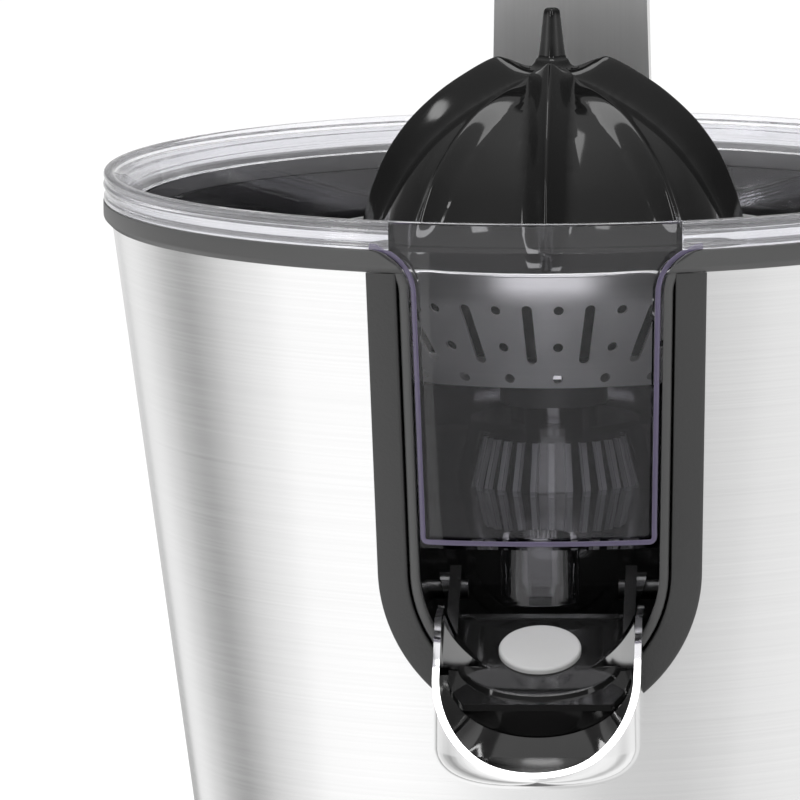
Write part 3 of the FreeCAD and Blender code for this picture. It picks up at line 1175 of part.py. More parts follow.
def along_arm(solid):
    """Place a piece modelled along -Y from the pivot on the arm's slope."""
    copy = solid.copy()
    copy.translate(VEC(0, PIVOT_Y, PIVOT_Z))
    copy.rotate(VEC(0, PIVOT_Y, PIVOT_Z), RIGHT, -ARM_SLOPE)
    return copy


def arm_knuckle():
    """Cast knuckle on the pin with a tongue that carries the arm."""
    knuckle = rod_x(KNUCKLE_R, KNUCKLE_HALF, 0, 0)
    tongue = block((-KNUCKLE_HALF, KNUCKLE_HALF), (-46, 0), (ARM_LIFT - 4, ARM_LIFT + 6))
    solid = knuckle.fuse(tongue)
    solid = raised(along_arm(solid)).fuse(switch_cam())
    bore = rod_x(PIVOT_PIN_R + BUSH_WALL, KNUCKLE_HALF + 1, PIVOT_Y, PIVOT_Z)
    chamber = rod_x(SPRING_ROOM_R, 5.0, PIVOT_Y, PIVOT_Z)
    return solid.cut([bore, chamber]).removeSplitter()


def switch_cam():
    """Spiral lobe below and in front of the pivot; its radius grows evenly over the arm's swing."""
    past = 8
    outline = [(PIVOT_Y, PIVOT_Z)]
    for degrees in range(-past, int(ARM_RAISED) + past + 1, 2):
        radius = CAM_R + CAM_RISE * degrees / ARM_RAISED
        turn = math.radians(degrees)
        outline.append((PIVOT_Y - radius * math.sin(turn), PIVOT_Z - radius * math.cos(turn)))
    return side_plate(outline, CAM_HALF)


def arm_outline(inset, height):
    """Arm bar from just ahead of the column to the grip, round ended."""
    y0 = -16.0
    y1 = -ARM_LEN + inset
    half = ARM_HALF - inset
    bar = block((-half, half), (y1 + half, y0), (ARM_LIFT - 4, ARM_LIFT - 4 + height))
    nose = Part.makeCylinder(half, height, VEC(0, y1 + half, ARM_LIFT - 4))
    return bar.fuse(nose).removeSplitter()


def arm_shell():
    """Pressed steel channel of the arm, open below."""
    outer = arm_outline(0, ARM_H)
    inner = arm_outline(ARM_SHEET, ARM_H - ARM_SHEET)
    inner.translate(VEC(0, 0, -0.01))
    back_open = block((-ARM_HALF + ARM_SHEET, ARM_HALF - ARM_SHEET), (-20, -10),
                      (ARM_LIFT - 5, ARM_LIFT - 4 + ARM_H - ARM_SHEET))
    return raised(along_arm(outer.cut([inner, back_open]).removeSplitter()))


def arm_cover():
    """Black cover that closes the channel from below."""
    plate = arm_outline(ARM_SHEET + 0.2, COVER_PLATE)
    plate = plate.cut(block((-KNUCKLE_HALF - 0.3, KNUCKLE_HALF + 0.3), (-47, 0), (-20, 40)))
    plate = along_arm(plate)
    boss_top = PIVOT_Z + PIVOT_Y * math.tan(math.radians(ARM_SLOPE)) + 9
    boss = cylinder(6, boss_top - 10, boss_top).cut(under_arm(60))
    plate = plate.fuse(boss).cut(cylinder(SCREW_R + 1, RIM_Z, boss_top + 1))
    return raised(plate.removeSplitter())


def handle_grip():
    """Soft black grip on the arm's front end."""
    half = ARM_HALF + 2.2
    low = ARM_LIFT - 4 - 2.2
    high = low + ARM_H + 4.4
    length = GRIP_LEN
    nose = -ARM_LEN - 2.2 + half
    bar = block((-half, half), (nose, nose + length), (low, high))
    end = Part.makeCylinder(half, high - low, VEC(0, nose, low))
    solid = bar.fuse(end).removeSplitter()
    solid = solid.makeFillet(2.0, [e for e in solid.Edges if abs(e.tangentAt(e.FirstParameter).z) < 0.1])
    core = arm_outline(-0.1, ARM_H + 0.2)
    core.translate(VEC(0, 0, -0.1))
    return raised(along_arm(solid.cut(core)))


def cup_r(z):
    """Outer radius of the press cup at a height, pressed down."""
    low = RIM_Z - CUP_OPEN_BELOW_RIM
    high = RIM_Z + CUP_TOP_ABOVE_RIM
    rise = (z - low) / (high - low)
    return CUP_R * math.sqrt(max(0.0, 1 - rise ** 2.6))


def cup_outline(inset, top_inset, steps=12):
    low = RIM_Z - CUP_OPEN_BELOW_RIM
    high = RIM_Z + CUP_TOP_ABOVE_RIM
    line = []
    for i in range(steps + 1):
        z = low + (high - low) * math.sin(math.pi / 2 * i / steps)
        r = max(0.0, cup_r(z) - inset * (1 - i / steps) - inset * 0.4 * i / steps)
        line.append((r if i < steps else 0.0, z - top_inset * i / steps))
    return line


def press_cup():
    """Domed steel cup with a turned-out edge and a neck up to the arm."""
    outer = cup_outline(0, 0)
    inner = cup_outline(CUP_WALL, CUP_WALL)
    dome = turned(outer + inner[::-1])
    top = RIM_Z + CUP_TOP_ABOVE_RIM
    neck = cylinder(9, top - 2, top + 20).common(under_arm(40))
    solid = dome.fuse(neck).cut(cylinder(SCREW_R + 1.1, top - 12, top + 30))
    return raised(solid.removeSplitter())


def under_arm(depth):
    """The space below the arm's underside, down to a depth, pressed down."""
    heights = (ARM_LIFT - 4 - depth, ARM_LIFT - 4)
    return along_arm(block((-ARM_HALF, ARM_HALF), (-PIVOT_Y - 40, -PIVOT_Y + 40), heights))


def press_insert():
    """Ribbed liner inside the cup that grips the fruit."""
    outer = cup_outline(CUP_WALL + 0.3, CUP_WALL + 0.3)[2:]
    inner = cup_outline(CUP_WALL + 2.0, CUP_WALL + 2.0)[2:]
    liner = turned(outer + inner[::-1])
    fin_line = cup_outline(CUP_WALL + 1.0, CUP_WALL + 1.0)[3:-2]
    fin_back = cup_outline(CUP_WALL + 4.0, CUP_WALL + 4.0)[3:-2]
    fin = radial_fin(fin_line + fin_back[::-1], 0.8, 0)
    solid = liner.fuse(turned_copies(fin, INSERT_RIBS, 22.5))
    return raised(solid.cut(cylinder(SCREW_R + 1.1, RIM_Z, RIM_Z + 80)).removeSplitter())


def cup_screw():
    """Screw up through the insert and the cup into the boss of the arm's cover."""
    top = RIM_Z + CUP_TOP_ABOVE_RIM - CUP_WALL - 2.5
    shank = cylinder(SCREW_R + 1, top, top + 25)
    head = cylinder(5, top - 2.4, top)
    slot = hexagon(3.0, top - 3, top - 1)
    return raised(shank.fuse(head).cut(slot))


NODES = [
    ("base_plate", base_plate), ("rubber_feet", rubber_feet), ("foot_screws", foot_screws),
    ("frame_posts", frame_posts), ("body_shell", body_shell), ("top_ring", top_ring),
    ("front_frame", front_frame), ("bowl_liner", bowl_liner), ("spout_recess", spout_recess),
    ("juice_bowl", juice_bowl), ("strainer", strainer), ("strainer_collar", strainer_collar),
    ("drive_bush", drive_bush), ("reamer", reamer), ("reamer_socket", reamer_socket),
    ("output_gear", output_gear), ("idler_gear", idler_gear), ("idler_axle", idler_axle),
    ("drive_shaft", drive_shaft), ("shaft_clip", shaft_clip), ("spindle_bushes", spindle_bushes),
    ("gear_plate", gear_plate), ("gearbox_cover", gearbox_cover), ("gearbox_screws", gearbox_screws),
    ("motor_stator", motor_stator), ("field_coils", field_coils), ("motor_brackets", motor_brackets),
    ("motor_bearings", motor_bearings), ("motor_screws", motor_screws), ("motor_spacers", motor_spacers),
    ("brush_holders", brush_holders), ("rotor_core", rotor_core), ("rotor_windings", rotor_windings),
    ("commutator", commutator), ("motor_shaft", motor_shaft), ("motor_pinion", motor_pinion),
    ("cooling_fan", cooling_fan), ("spout_scoop", spout_scoop), ("spout_tray", spout_tray),
    ("seal_pad", seal_pad), ("spout_pins", spout_pins), ("column_sleeve", column_sleeve),
    ("column_core", column_core), ("pivot_pin", pivot_pin), ("pivot_caps", pivot_caps),
    ("pivot_bushes", pivot_bushes), ("return_spring", return_spring), ("column_screws", column_screws),
    ("micro_switch", micro_switch), ("switch_plunger", switch_plunger), ("cord_gland", cord_gland),
    ("arm_knuckle", arm_knuckle), ("arm_shell", arm_shell), ("arm_cover", arm_cover),
    ("handle_grip", handle_grip), ("press_cup", press_cup), ("press_insert", press_insert),
    ("cup_screw", cup_screw),
]

for name, make in NODES:
    save(name, make())
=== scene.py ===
import math

import bmesh
import bpy
import numpy as np
from mathutils import Matrix, Vector


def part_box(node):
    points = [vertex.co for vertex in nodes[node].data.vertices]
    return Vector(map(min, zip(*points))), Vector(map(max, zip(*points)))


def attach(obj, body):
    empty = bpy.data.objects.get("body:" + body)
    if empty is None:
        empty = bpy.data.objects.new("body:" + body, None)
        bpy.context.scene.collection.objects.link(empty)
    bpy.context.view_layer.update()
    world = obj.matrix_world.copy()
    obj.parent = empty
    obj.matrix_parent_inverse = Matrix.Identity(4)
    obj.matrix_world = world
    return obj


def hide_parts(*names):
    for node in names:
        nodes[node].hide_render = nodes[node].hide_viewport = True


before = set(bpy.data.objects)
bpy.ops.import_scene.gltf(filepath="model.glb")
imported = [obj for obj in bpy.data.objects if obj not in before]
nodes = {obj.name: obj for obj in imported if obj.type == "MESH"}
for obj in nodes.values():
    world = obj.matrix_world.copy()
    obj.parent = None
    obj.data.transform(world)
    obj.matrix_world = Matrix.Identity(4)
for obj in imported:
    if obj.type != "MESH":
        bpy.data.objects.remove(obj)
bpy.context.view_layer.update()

# ==== Camera ==================================================================
# A long lens on a stand in front of the machine, a little above its rim, turned
# a hair to the machine's right; it frames the bowl, the cone and the spout.

RIM_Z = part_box("juice_bowl")[1].z
CAMERA_AZIMUTH = math.radians(3.1)
CAMERA_ELEVATION = math.radians(8.434)
CAMERA_ROLL = math.radians(-0.473)
CAMERA_DISTANCE = 2.5
CAMERA_LENS = 531.0
AIM_RIGHT = -0.03268
AIM_BELOW_RIM = 0.04981

back = Vector((math.sin(CAMERA_AZIMUTH) * math.cos(CAMERA_ELEVATION),
               -math.cos(CAMERA_AZIMUTH) * math.cos(CAMERA_ELEVATION),
               math.sin(CAMERA_ELEVATION)))
level = Vector((math.cos(CAMERA_AZIMUTH), math.sin(CAMERA_AZIMUTH), 0))
upright = back.cross(level)
right = level * math.cos(CAMERA_ROLL) + upright * math.sin(CAMERA_ROLL)
above = back.cross(right)
aim = level * AIM_RIGHT + Vector((0, 0, RIM_Z - AIM_BELOW_RIM))
camera_data = bpy.data.cameras.new("studio_camera")
camera_data.lens = CAMERA_LENS
camera_data.sensor_width = 36.0
camera_data.clip_end = 100.0
camera = bpy.data.objects.new("studio_camera", camera_data)
turn = Matrix((right, above, back)).transposed()
camera.matrix_world = Matrix.Translation(aim + back * CAMERA_DISTANCE) @ turn.to_4x4()
bpy.context.scene.collection.objects.link(camera)
bpy.context.scene.camera = camera
bpy.context.scene.view_settings.view_transform = "Standard"

# ==== Studio ==================================================================
# A pale floor under a bright, even surround. Grey cards stand low round the table,
# which the polished and brushed metal mirrors as soft upright bands, and three soft
# boxes draw the highlights on the glossy plastic.

FLOOR_R = 60.0
FLOOR_TONE = 0.93
FLOOR_GLOW = 0.16
SURROUND = 0.85
# compass share (0 front, 0.25 left, 0.5 back, 0.75 right) and tone of the cards
CARDS = [(0.0, 0.90), (0.060, 1.0), (0.110, 1.12), (0.150, 1.14), (0.205, 1.12), (0.236, 0.93),
         (0.267, 0.76), (0.292, 0.52), (0.314, 0.36), (0.338, 0.48), (0.367, 0.72), (0.400, 0.93),
         (0.424, 0.95), (0.440, 0.25), (0.470, 0.15), (0.530, 0.18), (0.556, 0.30), (0.583, 0.90),
         (0.625, 0.95), (0.680, 0.55), (0.722, 0.90), (0.767, 0.94), (0.817, 0.88), (0.850, 0.76),
         (0.885, 0.68), (0.940, 0.72), (1.0, 0.90)]
CEILING = [(0.0, 0.85), (0.07, 0.50), (0.18, 0.12), (0.35, 0.15), (0.8, 0.5), (1.0, 0.8)]
HORIZON = (-0.24, -0.15)        # slopes between which the cards give way to the ceiling
# radius, first and last turn in degrees, low and high edge
FLAG = (0.33, -26.0, 29.0, 0.046, 0.168)
# name, place, size, radiance
SOFT_BOXES = [("left_box", (-2.1, -1.6, 1.35), (0.5, 1.5), 6.0),
              ("right_box", (1.7, -2.1, 1.5), (0.45, 1.3), 5.0),
              ("top_box", (0.0, -0.2, 3.0), (1.6, 1.2), 3.0)]


def add_floor():
    """A round disc of floor at z = 0: a fan of triangles whose rim is (R cos t, R sin t)."""
    turns = np.linspace(0, 2 * np.pi, 97)[:-1]
    rim = np.stack([FLOOR_R * np.cos(turns), FLOOR_R * np.sin(turns), 0 * turns], 1)
    points = np.vstack([rim, [[0, 0, 0]]])
    step = np.arange(96)
    faces = np.stack([step, (step + 1) % 96, 0 * step + 96], 1)
    mesh = bpy.data.meshes.new("studio_floor")
    mesh.from_pydata(points.tolist(), [], faces.tolist())
    floor = bpy.data.objects.new("studio_floor", mesh)
    bpy.context.scene.collection.objects.link(floor)
    floor.visible_glossy = False
    paint = bpy.data.materials.new("floor_paint")
    paint.use_nodes = True
    shader = paint.node_tree.nodes["Principled BSDF"]
    shader.inputs["Base Color"].default_value = (FLOOR_TONE, FLOOR_TONE, FLOOR_TONE, 1)
    shader.inputs["Roughness"].default_value = 0.9
    shader.inputs["Specular IOR Level"].default_value = 0.1
    shader.inputs["Emission Color"].default_value = (1, 1, 1, 1)
    shader.inputs["Emission Strength"].default_value = FLOOR_GLOW
    mesh.materials.append(paint)


def add_flag():
    """A black card bent round the table's front edge, seen only by polished faces."""
    radius, first, last, low, high = FLAG
    turns = np.radians(np.linspace(first, last, 25))[None, :]
    z = np.array([low, high])[:, None]
    points = np.stack([radius * np.sin(turns) + 0 * z, -radius * np.cos(turns) + 0 * z,
                       z + 0 * turns], -1)
    index = np.arange(50).reshape(2, 25)
    quads = np.stack([index[0, :-1], index[0, 1:], index[1, 1:], index[1, :-1]], 1)
    mesh = bpy.data.meshes.new("studio_flag")
    mesh.from_pydata(points.reshape(-1, 3).tolist(), [], quads.tolist())
    flag = bpy.data.objects.new("studio_flag", mesh)
    bpy.context.scene.collection.objects.link(flag)
    flag.visible_camera = False
    flag.visible_diffuse = False
    flag.visible_transmission = False
    flag.visible_shadow = False
    felt = bpy.data.materials.new("flag_felt")
    felt.use_nodes = True
    felt.node_tree.nodes["Principled BSDF"].inputs["Base Color"].default_value = (0.02, 0.02, 0.02, 1)
    felt.node_tree.nodes["Principled BSDF"].inputs["Specular IOR Level"].default_value = 0.0
    mesh.materials.append(felt)


def add_soft_box(name, place, size, radiance):
    """An oblong area light, unseen itself, that looks at the top of the machine."""
    data = bpy.data.lights.new(name, "AREA")
    data.shape = "RECTANGLE"
    data.size, data.size_y = size
    data.energy = radiance * math.pi * size[0] * size[1]
    box = bpy.data.objects.new(name, data)
    box.location = place
    box.rotation_euler = (Vector((0, 0, RIM_Z)) - Vector(place)).to_track_quat("-Z", "Y").to_euler()
    box.visible_camera = False
    bpy.context.scene.collection.objects.link(box)


def add_ramp(tree, value, stops, blend):
    """A grey ramp over a 0 to 1 number socket."""
    ramp = tree.nodes.new("ShaderNodeValToRGB")
    ramp.color_ramp.interpolation = blend
    marks = ramp.color_ramp.elements
    for mark, (at, tone) in zip([marks[0], marks[1]] + [marks.new(0.5) for _ in stops[2:]], stops):
        mark.position = at
        mark.color = (tone, tone, tone, 1)
    tree.links.new(value, ramp.inputs[0])
    return ramp.outputs[0]


def light_surround():
    """White behind the machine; cards by compass direction below the horizon, a dim ceiling above."""
    world = bpy.data.worlds.new("studio_surround")
    bpy.context.scene.world = world
    world.use_nodes = True
    tree = world.node_tree
    tree.nodes.clear()
    place = tree.nodes.new("ShaderNodeTexCoord")
    split = tree.nodes.new("ShaderNodeSeparateXYZ")
    tree.links.new(place.outputs["Generated"], split.inputs[0])
    compass = tree.nodes.new("ShaderNodeMath")
    compass.operation = "ARCTAN2"
    tree.links.new(split.outputs["X"], compass.inputs[0])
    tree.links.new(split.outputs["Y"], compass.inputs[1])
    share = tree.nodes.new("ShaderNodeMath")
    share.operation = "MULTIPLY_ADD"
    share.inputs[1].default_value = 0.5 / math.pi
    share.inputs[2].default_value = 0.5
    tree.links.new(compass.outputs[0], share.inputs[0])
    cards = add_ramp(tree, share.outputs[0], CARDS, "EASE")
    ceiling = add_ramp(tree, split.outputs["Z"], CEILING, "LINEAR")
    horizon = tree.nodes.new("ShaderNodeMapRange")
    horizon.inputs["From Min"].default_value, horizon.inputs["From Max"].default_value = HORIZON
    tree.links.new(split.outputs["Z"], horizon.inputs["Value"])
    mirrored = tree.nodes.new("ShaderNodeMix")
    mirrored.data_type = "RGBA"
    tree.links.new(horizon.outputs["Result"], mirrored.inputs["Factor"])
    tree.links.new(cards, mirrored.inputs["A"])
    tree.links.new(ceiling, mirrored.inputs["B"])
    shown = tree.nodes.new("ShaderNodeBackground")
    tree.links.new(mirrored.outputs["Result"], shown.inputs["Color"])
    even = tree.nodes.new("ShaderNodeBackground")
    even.inputs["Color"].default_value = (1, 1, 1, 1)
    even.inputs["Strength"].default_value = SURROUND
    white = tree.nodes.new("ShaderNodeBackground")
    white.inputs["Color"].default_value = (1, 1, 1, 1)
    path = tree.nodes.new("ShaderNodeLightPath")
    seen = tree.nodes.new("ShaderNodeMath")
    seen.operation = "MAXIMUM"
    tree.links.new(path.outputs["Is Camera Ray"], seen.inputs[0])
    tree.links.new(path.outputs["Is Transmission Ray"], seen.inputs[1])
    gloss = tree.nodes.new("ShaderNodeMixShader")
    tree.links.new(path.outputs["Is Glossy Ray"], gloss.inputs[0])
    tree.links.new(even.outputs[0], gloss.inputs[1])
    tree.links.new(shown.outputs[0], gloss.inputs[2])
    choose = tree.nodes.new("ShaderNodeMixShader")
    tree.links.new(seen.outputs[0], choose.inputs[0])
    tree.links.new(gloss.outputs[0], choose.inputs[1])
    tree.links.new(white.outputs[0], choose.inputs[2])
    out = tree.nodes.new("ShaderNodeOutputWorld")
    tree.links.new(choose.outputs[0], out.inputs["Surface"])


add_floor()
add_flag()
light_surround()
for soft_box in SOFT_BOXES:
    add_soft_box(*soft_box)

# ==== Body ====================================================================
# A conical jacket rolled from 0.8 mm stainless sheet and belt-brushed all round. An
# arched opening is cut out of its front, and its top and foot are trapped under the
# black ring and in the base.

BODY_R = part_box("juice_bowl")[1].x - 0.0004
TAPER = 0.129
SHEET_WALL = 0.0008
SHEET_LOW_Z = 0.012
RING_LOW_Z = RIM_Z - 0.0108
RING_TOP_Z = RIM_Z - 0.006
ARCH_HALF = 0.0349
ARCH_SLOPE = 0.024
ARCH_CENTRE_Z = 0.16639
BAND_WIDTH = 0.0063


def new_group(name, colours=(), numbers=()):
    """An empty node group with the given inputs and the three outputs Colour, Roughness and Height."""
    group = bpy.data.node_groups.new(name, "ShaderNodeTree")
    face = group.interface
    face.new_socket("Place", in_out="INPUT", socket_type="NodeSocketVector")
    for label in colours:
        face.new_socket(label, in_out="INPUT", socket_type="NodeSocketColor")
    for label in numbers:
        face.new_socket(label, in_out="INPUT", socket_type="NodeSocketFloat")
    face.new_socket("Colour", in_out="OUTPUT", socket_type="NodeSocketColor")
    face.new_socket("Roughness", in_out="OUTPUT", socket_type="NodeSocketFloat")
    face.new_socket("Height", in_out="OUTPUT", socket_type="NodeSocketFloat")
    entry = group.nodes.new("NodeGroupInput")
    leave = group.nodes.new("NodeGroupOutput")
    return group, entry, leave


def blend_colours(group, share, first, second):
    """Mix two colour sockets by a number socket and return the result."""
    mix = group.nodes.new("ShaderNodeMix")
    mix.data_type = "RGBA"
    group.links.new(share, mix.inputs["Factor"])
    group.links.new(first, mix.inputs["A"])
    group.links.new(second, mix.inputs["B"])
    return mix.outputs["Result"]


def spread(group, value, low, high):
    """Stretch a 0 to 1 number socket over the span between two others."""
    span = group.nodes.new("ShaderNodeMapRange")
    group.links.new(value, span.inputs["Value"])
    group.links.new(low, span.inputs["To Min"])
    group.links.new(high, span.inputs["To Max"])
    return span.outputs["Result"]


def add_noise(group, place, scale, detail):
    """A noise texture on a place socket; its scale is a number or a socket."""
    noise = group.nodes.new("ShaderNodeTexNoise")
    noise.inputs["Detail"].default_value = detail
    group.links.new(place, noise.inputs["Vector"])
    if isinstance(scale, (int, float)):
        noise.inputs["Scale"].default_value = scale
    else:
        group.links.new(scale, noise.inputs["Scale"])
    return noise.outputs["Fac"]


def make_brushed():
    """Streaks of a belt: noise on a place that the material has already stretched, over slow clouds."""
    group, entry, leave = new_group("brushed_metal", ("Light", "Dark"), ("Smooth", "Rough"))
    streaks = add_noise(group, entry.outputs["Place"], 1.0, 6.0)
    clouds = add_noise(group, entry.outputs["Place"], 0.04, 2.0)
    both = group.nodes.new("ShaderNodeMath")
    both.operation = "MULTIPLY_ADD"
    both.inputs[1].default_value = 0.3
    group.links.new(clouds, both.inputs[0])
    share = group.nodes.new("ShaderNodeMath")
    share.operation = "MULTIPLY"
    share.inputs[1].default_value = 0.7
    group.links.new(streaks, share.inputs[0])
    group.links.new(share.outputs[0], both.inputs[2])
    colour = blend_colours(group, both.outputs[0], entry.outputs["Dark"], entry.outputs["Light"])
    group.links.new(colour, leave.inputs["Colour"])
    rough = spread(group, streaks, entry.outputs["Smooth"], entry.outputs["Rough"])
    group.links.new(rough, leave.inputs["Roughness"])
    group.links.new(streaks, leave.inputs["Height"])
    return group


def finished(name, group, stretch, bump, uniform, **inputs):
    """
    A Principled material fed by one of the shared groups. stretch scales Object coordinates along
    x, y and z, bump is the height of the relief in metres, and uniform values go on the shader.
    """
    material = bpy.data.materials.new(name)
    material.use_nodes = True
    tree = material.node_tree
    shader = tree.nodes["Principled BSDF"]
    for socket, value in uniform.items():
        shader.inputs[socket].default_value = value
    place = tree.nodes.new("ShaderNodeTexCoord")
    mapping = tree.nodes.new("ShaderNodeMapping")
    mapping.inputs["Scale"].default_value = stretch
    effect = tree.nodes.new("ShaderNodeGroup")
    effect.node_tree = group
    for socket, value in inputs.items():
        effect.inputs[socket].default_value = value
    tree.links.new(place.outputs["Object"], mapping.inputs["Vector"])
    tree.links.new(mapping.outputs[0], effect.inputs["Place"])
    tree.links.new(effect.outputs["Colour"], shader.inputs["Base Color"])
    tree.links.new(effect.outputs["Roughness"], shader.inputs["Roughness"])
    if bump:
        relief = tree.nodes.new("ShaderNodeBump")
        relief.inputs["Distance"].default_value = bump
        tree.links.new(effect.outputs["Height"], relief.inputs["Height"])
        tree.links.new(relief.outputs[0], shader.inputs["Normal"])
    return material


def grey(tone, tint=(1, 1, 1)):
    """A grey of that tone, leaning to a tint."""
    return tuple(tone * share for share in tint) + (1,)


def metal(name, stretch, light, dark, smooth, rough, tint=(1, 1, 1), bump=2e-6, **uniform):
    """A brushed or polished metal."""
    uniform = {"Metallic": 1.0, **uniform}
    return finished(name, BRUSHED, stretch, bump, uniform, Light=grey(light, tint),
                    Dark=grey(dark, tint), Smooth=smooth, Rough=rough)


def grid_mesh(name, points, wrap=False, crease=30.0, turned_out=True):
    """
    A skin of quads over a grid of points (rows, columns, 3); wrap joins the last column to the first.
    Points that meet at a pole or a seam are merged, a closed skin's faces are turned outwards, and
    edges that fold by more than the crease angle stay sharp.
    """
    rows, cols = points.shape[:2]
    index = np.arange(rows * cols).reshape(rows, cols)
    if wrap:
        index = np.hstack([index, index[:, :1]])
    corners = [index[:-1, :-1], index[:-1, 1:], index[1:, 1:], index[1:, :-1]]
    quads = np.stack(corners, axis=-1).reshape(-1, 4)
    mesh = bpy.data.meshes.new(name)
    mesh.from_pydata(points.reshape(-1, 3).tolist(), [], quads.tolist())
    return joined(mesh, crease, turned_out)


def joined(mesh, crease, turned_out):
    """Merge a mesh's points that meet, turn its faces outwards and shade it smooth up to a crease."""
    work = bmesh.new()
    work.from_mesh(mesh)
    bmesh.ops.remove_doubles(work, verts=work.verts, dist=2e-6)
    bmesh.ops.dissolve_degenerate(work, edges=work.edges, dist=1e-7)
    if turned_out:
        bmesh.ops.recalc_face_normals(work, faces=work.faces)
    work.to_mesh(mesh)
    work.free()
    mesh.shade_smooth()
    mesh.set_sharp_from_angle(angle=math.radians(crease))
    return mesh


def place_piece(name, mesh, material, body, *replaced, slot=None):
    """Put a mesh in the scene as a piece that rides on a body in its finish, instead of CAD pieces."""
    thing = bpy.data.objects.new(name, mesh)
    bpy.context.scene.collection.objects.link(thing)
    mesh.materials.clear()
    mesh.materials.append(material)
    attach(thing, body)
    if replaced:
        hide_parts(*replaced)
    return thing


def body_r(z):
    """Outer radius of the cone at a height: BODY_R at the rim, less TAPER for each metre below it."""
    return BODY_R + TAPER * (z - RIM_Z)


def arch_half(z, inset):
    """
    Half width of the front arch at a height: straight sides that close by ARCH_SLOPE downwards as far
    as the centre, then a half circle, then nothing.
    """
    side = ARCH_HALF - inset - ARCH_SLOPE * (RING_LOW_Z - z)
    foot = ARCH_HALF - inset - ARCH_SLOPE * (RING_LOW_Z - ARCH_CENTRE_Z)
    below = np.sqrt(np.maximum(foot ** 2 - (ARCH_CENTRE_Z - z) ** 2, 0))
    return np.where(z > ARCH_CENTRE_Z, side, below)


def jacket_grid():
    """Rows by height, columns by turn from one edge of the opening round the back to the other edge."""
    foot = ARCH_HALF - BAND_WIDTH / 2 - ARCH_SLOPE * (RING_LOW_Z - ARCH_CENTRE_Z)
    bend = ARCH_CENTRE_Z - foot * np.cos(np.linspace(0, np.pi / 2, 25))
    below = np.linspace(SHEET_LOW_Z, bend[0], 20)[:-1]
    beside = np.linspace(ARCH_CENTRE_Z, RING_LOW_Z, 14)[1:]
    hems = [[SHEET_LOW_Z + 5e-5], [RING_LOW_Z - 5e-5]]
    z = np.sort(np.concatenate([below, bend, beside] + hems))[:, None]
    edge = np.arcsin(arch_half(z, BAND_WIDTH / 2) / body_r(z))
    share = np.concatenate([[0, 0.0002], np.linspace(0, 1, 257)[1:-1], [0.9998, 1]])[None, :]
    turns = edge + share * (2 * np.pi - 2 * edge)
    return np.stack([body_r(z) * np.sin(turns), -body_r(z) * np.cos(turns), z + 0 * turns], -1)


BRUSHED = make_brushed()
body_steel = metal("body_steel", (7, 7, 2400), 0.97, 0.80, 0.14, 0.24, bump=3e-6)
jacket_mesh = grid_mesh("jacket", jacket_grid(), turned_out=False)
jacket = place_piece("jacket", jacket_mesh, body_steel, "root", "body_shell")
wall = jacket.modifiers.new("wall", "SOLIDIFY")
wall.thickness = SHEET_WALL
wall.offset = -1

# ==== Ring and front frame ====================================================
# One moulding makes the satin black ring that closes the jacket's top and the lip that
# lines the front opening; a second, with a leathery grain, is the band round the arch,
# pressed into the jacket's cut-out. Both are injection-moulded black plastic.

LIP_WIDTH = 0.0019
GROOVE = 0.0005
LIP_PROUD = 0.0003
FRAME_PROUD = 0.0006
OPENING_INSET = BAND_WIDTH + GROOVE + LIP_WIDTH
FLARE_R = 0.009
FLARE_LOW_Z = RING_TOP_Z - FLARE_R
RIM_R = BODY_R + 0.0004


def make_moulded():
    """Skin of a moulding: the mould's fine grain in the height, slow drifts of tone and gloss."""
    group, entry, leave = new_group("moulded_skin", ("Light", "Dark"), ("Smooth", "Rough", "Grain"))
    drift = add_noise(group, entry.outputs["Place"], 14.0, 2.0)
    grain = add_noise(group, entry.outputs["Place"], entry.outputs["Grain"], 3.0)
    colour = blend_colours(group, drift, entry.outputs["Dark"], entry.outputs["Light"])
    group.links.new(colour, leave.inputs["Colour"])
    rough = spread(group, drift, entry.outputs["Smooth"], entry.outputs["Rough"])
    group.links.new(rough, leave.inputs["Roughness"])
    group.links.new(grain, leave.inputs["Height"])
    return group


def plastic(name, light, dark, smooth, rough, grain=900.0, tint=(1, 1, 1), bump=1e-5, **uniform):
    """A moulded plastic or rubber."""
    return finished(name, MOULDED, (1, 1, 1), bump, uniform, Light=grey(light, tint),
                    Dark=grey(dark, tint), Smooth=smooth, Rough=rough, Grain=grain)


def rounded(outline, radius, steps=5):
    """
    A closed outline of points (n, 2) whose corners are rounded: each corner becomes a curve that starts
    and ends the radius away along its two sides (less on short sides), quadratic in between.
    """
    corner = np.asarray(outline, float)
    before = np.roll(corner, 1, 0) - corner
    after = np.roll(corner, -1, 0) - corner
    radii = np.broadcast_to(np.asarray(radius, float), len(corner))[:, None]
    long_before = np.linalg.norm(before, axis=1, keepdims=True)
    long_after = np.linalg.norm(after, axis=1, keepdims=True)
    start = corner + before / long_before * np.minimum(radii, 0.49 * long_before)
    end = corner + after / long_after * np.minimum(radii, 0.49 * long_after)
    t = np.linspace(0, 1, steps)[None, :, None]
    curve = (1 - t) ** 2 * start[:, None] + 2 * t * (1 - t) * corner[:, None] + t ** 2 * end[:, None]
    return curve.reshape(-1, 2)


def capped(loops):
    """Close a tube of loops (n, m, 3) at both ends by adding rows that shrink to each end's middle."""
    first = np.broadcast_to(loops[:1].mean(1, keepdims=True), loops[:1].shape)
    last = np.broadcast_to(loops[-1:].mean(1, keepdims=True), loops[-1:].shape)
    return np.concatenate([first, loops, last])


